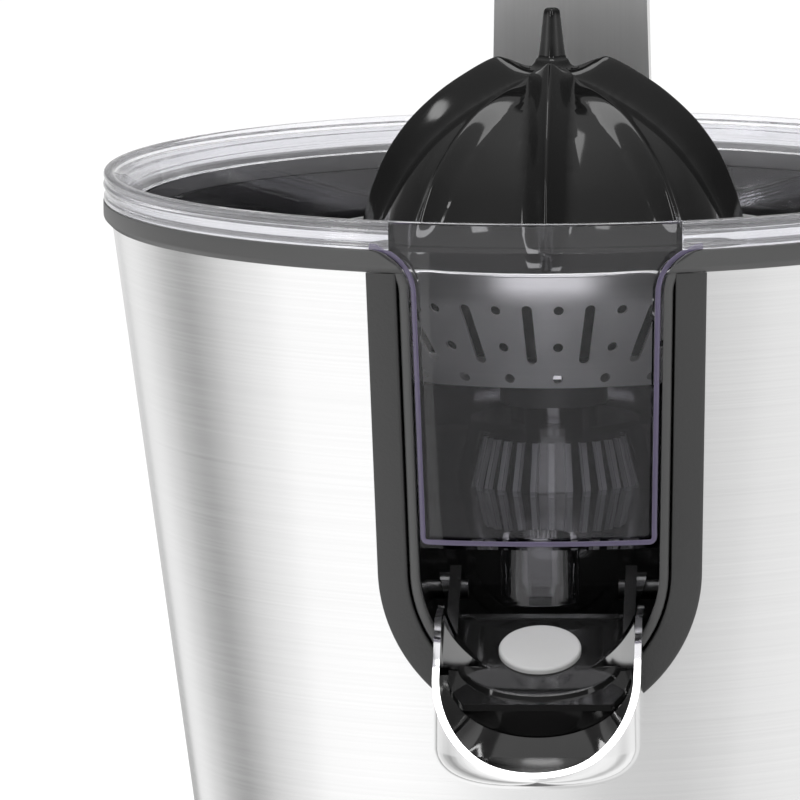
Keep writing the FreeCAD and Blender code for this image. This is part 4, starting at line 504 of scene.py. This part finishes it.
def arch_path(inset, flare):
    """
    Points (x, z) and outward directions along the arch's outline from its top left round the foot to
    the top right; with a flare, quarter circles swing outwards at both tops.
    """
    foot = ARCH_HALF - inset - ARCH_SLOPE * (RING_LOW_Z - ARCH_CENTRE_Z)
    turns = np.linspace(0, np.pi / 2, 33)
    bend = np.stack([foot * np.sin(turns), ARCH_CENTRE_Z - foot * np.cos(turns)], 1)
    side_top = FLARE_LOW_Z if flare else RING_LOW_Z
    z = np.linspace(ARCH_CENTRE_Z, side_top, 14)[1:]
    side = np.stack([arch_half(z, inset), z], 1)
    half = np.concatenate([bend, side])
    if flare:
        swing = np.linspace(0, np.pi / 2 * 0.97, 11)[1:]
        corner = side[-1] + np.array([FLARE_R, 0])
        half = np.concatenate([half, corner + FLARE_R * np.stack([-np.cos(swing), np.sin(swing)], 1)])
    whole = np.concatenate([half[::-1] * [-1, 1], half[1:]])
    along = np.gradient(whole, axis=0)
    outward = np.stack([along[:, 1], -along[:, 0]], 1)
    outward /= np.linalg.norm(outward, axis=1, keepdims=True)
    return whole, outward


def band_on_cone(path, outward, profile):
    """
    A profile of (distance out from the path, height off the cone) carried along a path in the front
    view; y follows from the cone: y = -sqrt((body_r(z) + height)^2 - x^2).
    """
    place = path[:, None, :] + outward[:, None, :] * profile[None, :, :1]
    x, z = place[..., 0], place[..., 1]
    radius = body_r(z) + profile[None, :, 1]
    return np.stack([x, -np.sqrt(radius ** 2 - x ** 2), z], -1)


def ring_grid():
    """The ring's section carried from one side of the front opening round the back to the other."""
    low_in = RIM_R - 0.0052
    outline = [(low_in, RING_LOW_Z), (RIM_R - 0.0014, RING_LOW_Z), (RIM_R, RING_LOW_Z + 0.0014),
               (RIM_R, RING_TOP_Z), (low_in + 0.0004, RING_TOP_Z)]
    profile = rounded(outline, 0.0004, 4)
    r, z = profile[:, 0], profile[:, 1]
    rise = np.clip(z - FLARE_LOW_Z, 0, FLARE_R)
    straight = arch_half(np.minimum(z, FLARE_LOW_Z), OPENING_INSET)
    cut = straight + FLARE_R - np.sqrt(FLARE_R ** 2 - rise ** 2)
    edge = np.arcsin(cut / r)[None, :]
    share = np.linspace(0, 1, 241)[:, None]
    turns = edge + share * (2 * np.pi - 2 * edge)
    return capped(np.stack([r * np.sin(turns), -r * np.cos(turns), z + 0 * turns], -1))


MOULDED = make_moulded()
ring_plastic = plastic("ring_plastic", 0.075, 0.058, 0.36, 0.46, grain=1400, bump=1.5e-5)
frame_plastic = plastic("frame_plastic", 0.046, 0.030, 0.44, 0.60, grain=1300, bump=9e-5)
place_piece("ring", grid_mesh("ring", ring_grid(), wrap=True), ring_plastic, "root", "top_ring")
lip_section = rounded([(0, -0.0035), (LIP_WIDTH, -0.0035), (LIP_WIDTH, LIP_PROUD),
                       (0, LIP_PROUD)], 0.0006)
lip_grid = capped(band_on_cone(*arch_path(OPENING_INSET, True), lip_section))
lip_mesh = grid_mesh("opening_lip", lip_grid, wrap=True)
place_piece("opening_lip", lip_mesh, ring_plastic, "root", "top_ring")
frame_section = rounded([(0, -0.0030), (BAND_WIDTH, -0.0004), (BAND_WIDTH, FRAME_PROUD),
                         (0, FRAME_PROUD)], 0.0007)
frame_grid = capped(band_on_cone(*arch_path(BAND_WIDTH, False), frame_section))
band_mesh = grid_mesh("arch_band", frame_grid, wrap=True)
place_piece("arch_band", band_mesh, frame_plastic, "root", "front_frame")

# ==== Basin and spout pocket ==================================================
# The basin that the clear bowl drops into, with the fluted boss of the drive in its
# middle, and the pocket behind the spout: polished black mouldings, the pocket's back
# engraved with two thin arcs. Light grey strips over the boss's black ribs are a painted
# highlight for the glints those ribs catch.

RIB_COUNT = 28
RIB_LOW_Z = 0.1702
RIB_TOP_Z = 0.1829
BOSS_FOOT_R = 0.0170
BOSS_FOOT_Z = 0.170
BOSS_TAPER = 0.0031 / 0.013


def faired_copy(name, node, crease=30.0):
    """A CAD piece's mesh with its triangles joined and its round faces shaded smooth."""
    mesh = nodes[node].data.copy()
    mesh.name = name
    if "custom_normal" in mesh.attributes:
        mesh.attributes.remove(mesh.attributes["custom_normal"])
    return joined(mesh, crease, False)


liner_plastic = plastic("liner_plastic", 0.006, 0.003, 0.08, 0.14, bump=0)
place_piece("basin", faired_copy("basin", "bowl_liner"), liner_plastic, "root", "bowl_liner")


def rib_grid(count):
    """
    The boss's ribs as one skin: for each turn, a section (across, out) of a rounded bar carried up the
    boss's slope from its foot to its top, capped at both ends.
    """
    outline = np.array([(-0.75, -0.6), (0.75, -0.6), (0.75, 1.12), (-0.75, 1.12)]) / 1000
    section = rounded(outline, 0.0005, 4)
    side, rise = section[None, :, 0], section[None, :, 1]
    heights = np.linspace(RIB_LOW_Z, RIB_TOP_Z, 7)[:, None]
    boss_r = BOSS_FOOT_R - (heights - BOSS_FOOT_Z) * BOSS_TAPER
    bar = capped(np.stack([side + 0 * heights, boss_r + rise, heights + 0 * side], -1))
    turns = (np.arange(count) * 2 * np.pi / count)[:, None, None]
    across, out, z = bar[..., 0], bar[..., 1], bar[..., 2]
    x = out * np.sin(turns) + across * np.cos(turns)
    y = -out * np.cos(turns) + across * np.sin(turns)
    return np.stack([x, y, z + 0 * x], -1)


def many_mesh(name, grids, crease=30.0):
    """One mesh of several closed tubes (count, rows, columns, 3)."""
    count, rows, cols = grids.shape[:3]
    index = np.arange(count * rows * cols).reshape(count, rows, cols)
    index = np.concatenate([index, index[:, :, :1]], 2)
    corners = [index[:, :-1, :-1], index[:, :-1, 1:], index[:, 1:, 1:], index[:, 1:, :-1]]
    quads = np.stack(corners, axis=-1).reshape(-1, 4)
    mesh = bpy.data.meshes.new(name)
    mesh.from_pydata(grids.reshape(-1, 3).tolist(), [], quads.tolist())
    return joined(mesh, crease, True)


# Painted highlight: light grey strips, a little wider and prouder than the black basin's own ribs, stand
# for the glints the black ribs catch.
rib_painted_highlight = plastic("rib_painted_highlight", 0.42, 0.30, 0.18, 0.30, bump=0)
ribs_mesh = many_mesh("painted_highlight_ribs", rib_grid(RIB_COUNT))
place_piece("painted_highlight_ribs", ribs_mesh, rib_painted_highlight, "root", "bowl_liner", slot="liner_plastic")
pocket_mesh = faired_copy("spout_pocket", "spout_recess")
place_piece("spout_pocket", pocket_mesh, liner_plastic, "root", "spout_recess")

# ==== Bowl ====================================================================
# The lift-out juice bowl, one clear polycarbonate moulding with a window box that
# fills the front opening, a chimney for the drive and a short nozzle over the spout.

BOWL_CUT_Z = 0.2330
RIM_GAP_HALF = 0.0300


def make_clear(name, tint, rough, ior, through):
    """Clear plastic: a refracting shader, but light that only passes through goes straight on."""
    material = bpy.data.materials.new(name)
    material.use_nodes = True
    tree = material.node_tree
    shader = tree.nodes["Principled BSDF"]
    shader.inputs["Transmission Weight"].default_value = through
    shader.inputs["IOR"].default_value = ior
    shader.inputs["Roughness"].default_value = rough
    place = tree.nodes.new("ShaderNodeTexCoord")
    cloud = tree.nodes.new("ShaderNodeTexNoise")
    cloud.inputs["Scale"].default_value = 30.0
    tone = tree.nodes.new("ShaderNodeMix")
    tone.data_type = "RGBA"
    tone.inputs["A"].default_value = tint
    tone.inputs["B"].default_value = (0.99, 0.99, 1.0, 1)
    tree.links.new(place.outputs["Object"], cloud.inputs["Vector"])
    tree.links.new(cloud.outputs["Fac"], tone.inputs["Factor"])
    tree.links.new(tone.outputs["Result"], shader.inputs["Base Color"])
    passing = tree.nodes.new("ShaderNodeBsdfTransparent")
    path = tree.nodes.new("ShaderNodeLightPath")
    choose = tree.nodes.new("ShaderNodeMixShader")
    tree.links.new(path.outputs["Is Shadow Ray"], choose.inputs[0])
    tree.links.new(shader.outputs[0], choose.inputs[1])
    tree.links.new(passing.outputs[0], choose.inputs[2])
    tree.links.new(choose.outputs[0], tree.nodes["Material Output"].inputs["Surface"])
    return material


def without_rim(mesh, height, half):
    """Take away what stands above a height outside the window; the rim there is a piece of its own."""
    work = bmesh.new()
    work.from_mesh(mesh)
    cuts = [((0, 0, height), (0, 0, 1)), ((half, 0, 0), (1, 0, 0)), ((-half, 0, 0), (1, 0, 0))]
    for place, facing in cuts:
        every = work.verts[:] + work.edges[:] + work.faces[:]
        bmesh.ops.bisect_plane(work, geom=every, plane_co=place, plane_no=facing)
    middles = [(face, face.calc_center_median()) for face in work.faces]
    rim_faces = [face for face, at in middles if at.z > height and (abs(at.x) > half or at.y > 0)]
    bmesh.ops.delete(work, geom=rim_faces, context="FACES")
    work.to_mesh(mesh)
    work.free()
    return mesh


def rim_grid():
    """
    The rim's section turned round the axis from one side of the window to the other: a flared flange,
    hollow below, with a bead and a ridge, and closed ends.
    """
    outline = [(88.0, 232.9), (89.3, 232.9), (90.4, 234.6), (92.9, 237.6), (93.5, 237.6),
               (93.5, 234.1), (94.9, 234.1), (94.9, 235.0), (94.5, 235.4), (94.5, 236.6),
               (95.0, 237.0), (95.0, 237.6), (94.4, 238.0), (94.4, 238.8), (95.0, 239.2),
               (94.8, 240.0), (92.9, 240.0), (91.2, 238.2)]
    section = rounded(np.array(outline) / 1000, 0.00035, 4)
    r, z = section[None, :, 0], section[None, :, 1]
    edge = np.arcsin(RIM_GAP_HALF / r)
    turns = edge + np.linspace(0, 1, 257)[:, None] * (2 * np.pi - 2 * edge)
    return capped(np.stack([r * np.sin(turns), -r * np.cos(turns), z + 0 * turns], -1))


def ring_mesh(name, grid, crease=30.0):
    """A closed ring: its last section is joined to its first."""
    return grid_mesh(name, np.concatenate([grid, grid[:1]]), wrap=True, crease=crease)


clear_plastic = make_clear("clear_plastic", (0.95, 0.94, 0.99, 1), 0.0, 1.38, 1.0)
rim_plastic = make_clear("clear_plastic_rim", (0.80, 0.80, 0.84, 1), 0.04, 1.45, 0.93)
edge_plastic = plastic("edge_plastic", 0.26, 0.20, 0.12, 0.2, tint=(0.72, 0.62, 1.0), bump=0,
                       **{"Transmission Weight": 0.45})

wall_mesh = without_rim(faired_copy("clear_bowl", "juice_bowl"), BOWL_CUT_Z, RIM_GAP_HALF)
place_piece("clear_bowl", wall_mesh, clear_plastic, "bowl", "juice_bowl")
rim_mesh = grid_mesh("clear_rim", rim_grid(), wrap=True)
place_piece("clear_rim", rim_mesh, rim_plastic, "bowl", "juice_bowl", slot="clear_plastic")


def window_path():
    """The window's outline in the front view: down one side, along its foot, up the other side."""
    half_path = arch_path(WINDOW_INSET, True)[0]
    side = half_path[(half_path[:, 0] < 0) & (half_path[:, 1] > WINDOW_LOW_Z + WINDOW_CORNER_REACH)]
    low_x = side[-1, 0]
    turns = np.linspace(0, np.pi / 2, 7)[:, None]
    middle = np.array([[low_x + WINDOW_CORNER_R, WINDOW_LOW_Z + WINDOW_CORNER_R]])
    corner = middle - WINDOW_CORNER_R * np.hstack([np.cos(turns), np.sin(turns)])
    floor = np.stack([np.linspace(corner[-1, 0], 0, 10)[1:], np.full(9, WINDOW_LOW_Z)], 1)
    left = np.concatenate([side, corner, floor])
    whole = np.concatenate([left, left[::-1][1:] * [-1, 1]])
    along = np.gradient(whole, axis=0)
    outward = np.stack([along[:, 1], -along[:, 0]], 1)
    return whole, outward / np.linalg.norm(outward, axis=1, keepdims=True)


WINDOW_INSET = OPENING_INSET + 0.0006
WINDOW_LOW_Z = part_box("juice_bowl")[0].z + 0.0127
WINDOW_CORNER_R = 0.0016
WINDOW_CORNER_REACH = 0.002
edge_section = rounded([(-0.0011, -0.0005), (0, -0.0005), (0, 0.00015), (-0.0011, 0.00015)], 0.0003, 4)
edge_grid = capped(band_on_cone(*window_path(), edge_section))
edge_mesh = grid_mesh("window_edge", edge_grid, wrap=True)
place_piece("window_edge", edge_mesh, edge_plastic, "bowl", "juice_bowl", slot="clear_plastic")

# ==== Strainer ================================================================
# A basket pressed from brushed stainless sheet and pierced with slots and round holes,
# on a black plastic collar that sits on the bowl's chimney.

BEAD_R = 0.0546
BEAD_Z = 0.22415
BEAD_WIRE_R = 0.00045

strainer_steel = metal("strainer_steel", (30, 30, 1800), 0.92, 0.80, 0.30, 0.42)
black_plastic = plastic("black_plastic", 0.035, 0.022, 0.4, 0.55)
sheet_mesh = faired_copy("basket_sheet", "strainer")
place_piece("basket_sheet", sheet_mesh, strainer_steel, "basket", "strainer")
turns = np.linspace(0, 2 * np.pi, 181)[:-1][:, None]
coil = np.linspace(0, 2 * np.pi, 13)[:-1][None, :]
bead_r, bead_z = BEAD_R + BEAD_WIRE_R * np.cos(coil), BEAD_Z + BEAD_WIRE_R * np.sin(coil)
bead = np.stack([bead_r * np.sin(turns), -bead_r * np.cos(turns), bead_z + 0 * turns], -1)
place_piece("basket_bead", ring_mesh("basket_bead", bead), strainer_steel, "basket", "strainer")
collar_mesh = faired_copy("basket_collar", "strainer_collar")
place_piece("basket_collar", collar_mesh, black_plastic, "basket", "strainer_collar")
bush_mesh = faired_copy("turning_bush", "drive_bush")
place_piece("turning_bush", bush_mesh, black_plastic, "drive_hub", "drive_bush")

# ==== Reaming cone ============================================================
# The cone that the fruit is pressed on: one polished black moulding, hollow below, with
# four tall fins that end in horns round a spike and a low fin between each two.

CONE_LOW_Z = 0.204
FLANGE_Z = 0.218
FLANGE_R = 0.041
SKIRT_R = 0.0355
CONE_WALL = 0.0022
SPIKE_TOP_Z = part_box("reamer")[1].z
# radius and height in millimetres, from the flange up to the spike
FIN_EDGE = [(41, 221.6), (41, 223.5), (40.3, 228.3), (38.7, 234.6), (35.5, 242.3), (30.6, 249.5),
            (24.3, 255.6), (18, 260.0), (12.4, 263.0), (9.6, 262.8), (4.9, 261.2), (3.3, 262.8)]
PANEL = [(41, 221.6), (39.6, 223.7), (37.4, 227.4), (34.9, 232.7), (31.0, 239.6), (25.9, 246.0),
         (20.0, 251.2), (14.0, 255.2), (9.2, 257.9), (6.8, 259.3), (4.2, 260.8), (3.0, 262.6)]
LOW_FIN = [(41, 221.6), (40.2, 223.8), (38.9, 228.0), (37.0, 233.7), (33.3, 241.2), (28.0, 247.8),
           (21.6, 253.0), (14.8, 256.4), (9.3, 258.2), (6.8, 259.4), (4.2, 260.8), (3.0, 262.6)]
FIN_FOOT = 0.0046
LOW_FIN_FOOT = 0.0042


def smooth_line(points, count):
    """
    A smooth line through points (n, 2): a cubic through each four neighbours in turn (Catmull-Rom),
    read at evenly spaced places.
    """
    p = np.asarray(points, float)
    p = np.vstack([2 * p[0] - p[1], p, 2 * p[-1] - p[-2]])
    at = np.linspace(0, len(p) - 3 - 1e-9, count)
    i = at.astype(int)
    t = (at - i)[:, None]
    a, b, c, d = p[i], p[i + 1], p[i + 2], p[i + 3]
    square, cube = 2 * a - 5 * b + 4 * c - d, 3 * b - a - 3 * c + d
    return 0.5 * (2 * b + (c - a) * t + square * t ** 2 + cube * t ** 3)


def ridge(across, foot):
    """
    Height share of a fin at a distance from its middle plane, with n that distance over the foot's:
    (1.077 - sqrt(n^2 + 0.006))^1.35, a narrow round crest on hollow flanks, and 0 past the foot.
    """
    near = np.clip(np.abs(across) / foot, 0, 1)
    return (1 - np.sqrt(near ** 2 + 0.006) + 0.077) ** 1.35 * (near < 1)


def cone_columns():
    """Turns of the columns: within each eighth of a turn they crowd towards the fins at both ends."""
    t = np.linspace(0, 1, 29)[:-1]
    eased = t - 0.13 * np.sin(2 * np.pi * t)
    return (np.arange(8)[:, None] + eased[None, :]).ravel() * np.pi / 4


def cone_grid():
    """
    Rows from the roof of the hollow down its wall, round the skirt and flange, and up over the fins to
    the spike; across a fin the point moves from the panel's line to the fin's line by the ridge share.
    """
    turns = cone_columns()
    fin, panel, low = (smooth_line(np.array(line) / 1000, 120) for line in (FIN_EDGE, PANEL, LOW_FIN))
    from_fin = (turns + np.pi / 4) % (np.pi / 2) - np.pi / 4
    from_low = turns % (np.pi / 2) - np.pi / 4
    reach = panel[:, :1]
    high_share = ridge(reach * np.sin(from_fin), FIN_FOOT)[..., None]
    low_share = ridge(reach * np.sin(from_low), LOW_FIN_FOOT)[..., None]
    line = panel[:, None] + (fin - panel)[:, None] * high_share + (low - panel)[:, None] * low_share
    under = panel[::-1][::6] - [CONE_WALL, 0.0015]
    inside = np.vstack([[[0.0001, under[0, 1]]], under[under[:, 0] < SKIRT_R - CONE_WALL]])
    skirt_in = SKIRT_R - CONE_WALL
    hem = rounded([(skirt_in, FLANGE_Z), (skirt_in, CONE_LOW_Z), (SKIRT_R, CONE_LOW_Z),
                   (SKIRT_R, FLANGE_Z), (FLANGE_R, FLANGE_Z), (FLANGE_R, 0.2216)], 0.0006, 4)[2:-2]
    wall = np.vstack([inside, hem])
    spike = smooth_line([(0.0030, 0.2630), (0.0026, 0.2658), (0.0021, 0.2700), (0.0017, 0.2728),
                         (0.0010, SPIKE_TOP_Z - 0.0001), (0.0, SPIKE_TOP_Z)], 24)
    cross = 1 - 0.22 * np.sin(2 * turns) ** 2
    rows = np.concatenate([np.broadcast_to(wall[:, None], (len(wall), len(turns), 2)), line,
                           spike[:, None] * np.stack([cross, 0 * cross + 1], -1)])
    r, z = np.maximum(rows[..., 0], 0), rows[..., 1]
    r[0] = 0
    return np.stack([r * np.sin(turns), -r * np.cos(turns), z], -1)


gloss_black = plastic("gloss_black", 0.008, 0.005, 0.05, 0.09, bump=0)
cone_mesh = grid_mesh("finned_cone", cone_grid(), wrap=True, crease=70)
place_piece("finned_cone", cone_mesh, gloss_black, "cone", "reamer")
place_piece("cone_hub", faired_copy("cone_hub", "reamer_socket"), black_plastic, "cone", "reamer_socket")

# ==== Spout ===================================================================
# A polished steel scoop on two pins with a glossy black tray in it; a soft grey pad
# on the tray shuts the bowl's nozzle when the spout is tipped up. The scoop's inside
# is given a darker copy of its chrome: painted shade in its hollow.

SPOUT_PIVOT = (-0.060, 0.1592)
SPOUT_TILT = math.radians(23.6)
TRAY_HALF = 0.0190
TRAY_BACK = -0.0665
TRAY_NOSE = -0.0860
TRAY_REACH = 0.0150
TRAY_BELOW_PINS = 0.0012
APRON = (0.0015, 0.0055)        # how far its low edge lies ahead of the nose, and how far below
APRON_START = 0.006             # how far behind the nose's start the apron begins


def tilted(points):
    """Turn points of the shut spout about its pins to where the spout rests open."""
    y, z = points[..., 1] - SPOUT_PIVOT[0], points[..., 2] - SPOUT_PIVOT[1]
    cos, sin = math.cos(SPOUT_TILT), math.sin(SPOUT_TILT)
    return np.stack([points[..., 0], SPOUT_PIVOT[0] + y * cos - z * sin,
                     SPOUT_PIVOT[1] + y * sin + z * cos], -1)


def tray_outline(inset):
    """The tray's edge seen from above: straight sides from the back to a half ellipse at the nose."""
    turns = np.linspace(-np.pi / 2, np.pi / 2, 49)
    half = TRAY_HALF - inset
    nose = np.stack([half * np.sin(turns), TRAY_NOSE - (TRAY_REACH - inset) * np.cos(turns)], 1)
    back = np.linspace(TRAY_BACK - inset, TRAY_NOSE, 12)[:-1]
    left = np.stack([np.full(11, -half), back], 1)
    return np.concatenate([left, nose, left[::-1] * [-1, 1]])


def tray_grid():
    """
    Loops of the tray's outline from the middle of its top over a rounded edge to an apron, and back
    underneath. A loop is the outline at an inset, at a height, dropped and pushed forward where it
    is the apron: the drop grows from none at the sides to its full depth at the nose.
    """
    top = SPOUT_PIVOT[1] - TRAY_BELOW_PINS
    # inset, height, share of the apron's drop, share of the way to the middle
    steps = [(0.0034, 0.0, 0, 0.98), (0.0034, 0.0, 0, 0), (0.0028, -0.0002, 0, 0),
             (0.0024, -0.0006, 0.08, 0), (0.0003, -0.0012, 0.95, 0), (0.0, -0.0016, 1, 0),
             (0.0002, -0.0022, 1, 0), (0.0026, -0.0020, 0.1, 0), (0.0034, -0.0018, 0, 0),
             (0.0034, -0.0018, 0, 0.98)]
    middle = np.array([0, (TRAY_BACK + TRAY_NOSE) / 2])
    loops = []
    for inset, height, drop, shrink in steps:
        line = middle + (tray_outline(inset) - middle) * (1 - shrink)
        ahead = np.clip((TRAY_NOSE + APRON_START - line[:, 1]) / (TRAY_REACH + APRON_START), 0, 1)
        line = line - np.column_stack([0 * ahead, APRON[0] * drop * ahead])
        loops.append(np.column_stack([line, top + height - APRON[1] * drop * ahead]))
    return tilted(np.array(loops))


def inner_faces(mesh, centre):
    """1 for each face that looks towards a point, 0 for the others."""
    middles, facing = np.zeros(len(mesh.polygons) * 3), np.zeros(len(mesh.polygons) * 3)
    mesh.polygons.foreach_get("center", middles)
    mesh.polygons.foreach_get("normal", facing)
    toward = np.asarray(centre) - middles.reshape(-1, 3)
    return ((toward * facing.reshape(-1, 3)).sum(1) > 0.35 * np.linalg.norm(toward, axis=1)).astype(int)


chrome = metal("chrome", (60, 60, 60), 0.96, 0.92, 0.05, 0.09, bump=0)
# Painted shade: a darker copy of the chrome, put on the scoop's inner faces for the shade in its hollow.
chrome_painted_shade = metal("chrome_painted_shade", (60, 60, 60), 0.34, 0.22, 0.04, 0.10, bump=0)
grey_silicone = plastic("grey_silicone", 0.50, 0.42, 0.32, 0.45)
scoop = place_piece("scoop", faired_copy("scoop", "spout_scoop", 50), chrome, "spout", "spout_scoop")
scoop.data.materials.append(chrome_painted_shade)
low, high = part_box("spout_scoop")
# Painted shade: the faces that look into the scoop get the darker chrome.
inside = inner_faces(scoop.data, (0, (low.y + high.y) / 2, high.z))
scoop.data.polygons.foreach_set("material_index", inside)
arms_mesh = faired_copy("tray_arms", "spout_tray")
place_piece("tray_arms", arms_mesh, gloss_black, "spout", "spout_tray", slot="liner_plastic")
tray_mesh = grid_mesh("tray", tray_grid(), wrap=True)
place_piece("tray", tray_mesh, gloss_black, "spout", "spout_tray", slot="liner_plastic")
place_piece("nozzle_pad", faired_copy("nozzle_pad", "seal_pad"), grey_silicone, "spout", "seal_pad")

# ==== Column and arm ==========================================================
# A folded sleeve of brushed steel over a cast column carries the arm on a pin; the arm
# is a pressed steel channel with a black cover, a soft grip and a domed steel cup.

column_steel = metal("column_steel", (1800, 1800, 8), 0.92, 0.82, 0.30, 0.42)
cast_alloy = metal("cast_alloy", (700, 700, 700), 0.6, 0.45, 0.4, 0.6, bump=3e-5)
grip_rubber = plastic("grip_rubber", 0.040, 0.028, 0.6, 0.75, grain=1500, bump=8e-5)
sleeve_mesh = faired_copy("column_jacket", "column_sleeve")
place_piece("column_jacket", sleeve_mesh, column_steel, "root", "column_sleeve")
casting_mesh = faired_copy("column_casting", "column_core")
place_piece("column_casting", casting_mesh, cast_alloy, "root", "column_core")
place_piece("knuckle", faired_copy("knuckle", "arm_knuckle"), cast_alloy, "arm", "arm_knuckle")
place_piece("arm_channel", faired_copy("arm_channel", "arm_shell"), column_steel, "arm", "arm_shell")
cover_mesh = faired_copy("arm_underside", "arm_cover")
place_piece("arm_underside", cover_mesh, black_plastic, "arm", "arm_cover")
place_piece("grip", faired_copy("grip", "handle_grip"), grip_rubber, "arm", "handle_grip")
place_piece("cup", faired_copy("cup", "press_cup"), column_steel, "arm", "press_cup")
place_piece("cup_liner", faired_copy("cup_liner", "press_insert"), black_plastic, "arm", "press_insert")

# ==== Base, feet and cable gland ==============================================
# A moulded base screwed up under the jacket through six rubber feet, and the rubber
# gland through which the mains lead enters at the back.

rubber = plastic("rubber", 0.030, 0.020, 0.7, 0.85)
place_piece("base", faired_copy("base", "base_plate"), black_plastic, "root", "base_plate")
place_piece("feet", faired_copy("feet", "rubber_feet"), rubber, "root", "rubber_feet")
place_piece("gland", faired_copy("gland", "cord_gland"), rubber, "root", "cord_gland")

# ==== Drive and hardware ======================================================
# Gears, motor, bearings, screws and switch inside the jacket: bought and turned parts
# that keep their CAD shape and get the finish of what they are made of.

def clothe(material, *names):
    """Give CAD pieces that are right in shape their finish."""
    for name in names:
        mesh = nodes[name].data
        mesh.materials.clear()
        mesh.materials.append(material)


screw_steel = metal("screw_steel", (300, 300, 300), 0.62, 0.5, 0.25, 0.4)
black_steel = metal("black_steel", (300, 300, 300), 0.06, 0.04, 0.25, 0.4)
lamination = metal("lamination", (20, 20, 3000), 0.3, 0.2, 0.4, 0.6)
brass_metal = metal("brass_metal", (300, 300, 300), 0.85, 0.7, 0.2, 0.35, tint=(1, 0.8, 0.42))
bronze = metal("bronze", (500, 500, 500), 0.65, 0.5, 0.35, 0.5, tint=(1, 0.7, 0.4))
copper = metal("copper", (900, 900, 900), 0.8, 0.6, 0.25, 0.4, tint=(1, 0.5, 0.3))
grey_plastic = plastic("grey_plastic", 0.35, 0.3, 0.4, 0.5)
gear_plastic = plastic("gear_plastic", 0.8, 0.72, 0.35, 0.45, tint=(1, 0.98, 0.92))
red_plastic = plastic("red_plastic", 0.5, 0.4, 0.35, 0.5, tint=(1, 0.15, 0.12))
clothe(screw_steel, "foot_screws", "idler_axle", "gear_plate", "gearbox_screws", "motor_bearings",
       "motor_screws", "pivot_pin", "return_spring", "column_screws", "cup_screw", "drive_shaft",
       "shaft_clip", "motor_shaft")
clothe(bronze, "spindle_bushes", "pivot_bushes")
clothe(lamination, "motor_stator", "rotor_core")
clothe(copper, "field_coils", "rotor_windings", "commutator")
clothe(cast_alloy, "motor_brackets")
clothe(brass_metal, "motor_pinion")
clothe(grey_plastic, "gearbox_cover", "brush_holders", "micro_switch")
clothe(gear_plastic, "output_gear", "idler_gear")
clothe(red_plastic, "switch_plunger")
clothe(black_plastic, "frame_posts", "cooling_fan")
clothe(rubber, "motor_spacers")
clothe(chrome, "pivot_caps")
clothe(black_steel, "spout_pins")
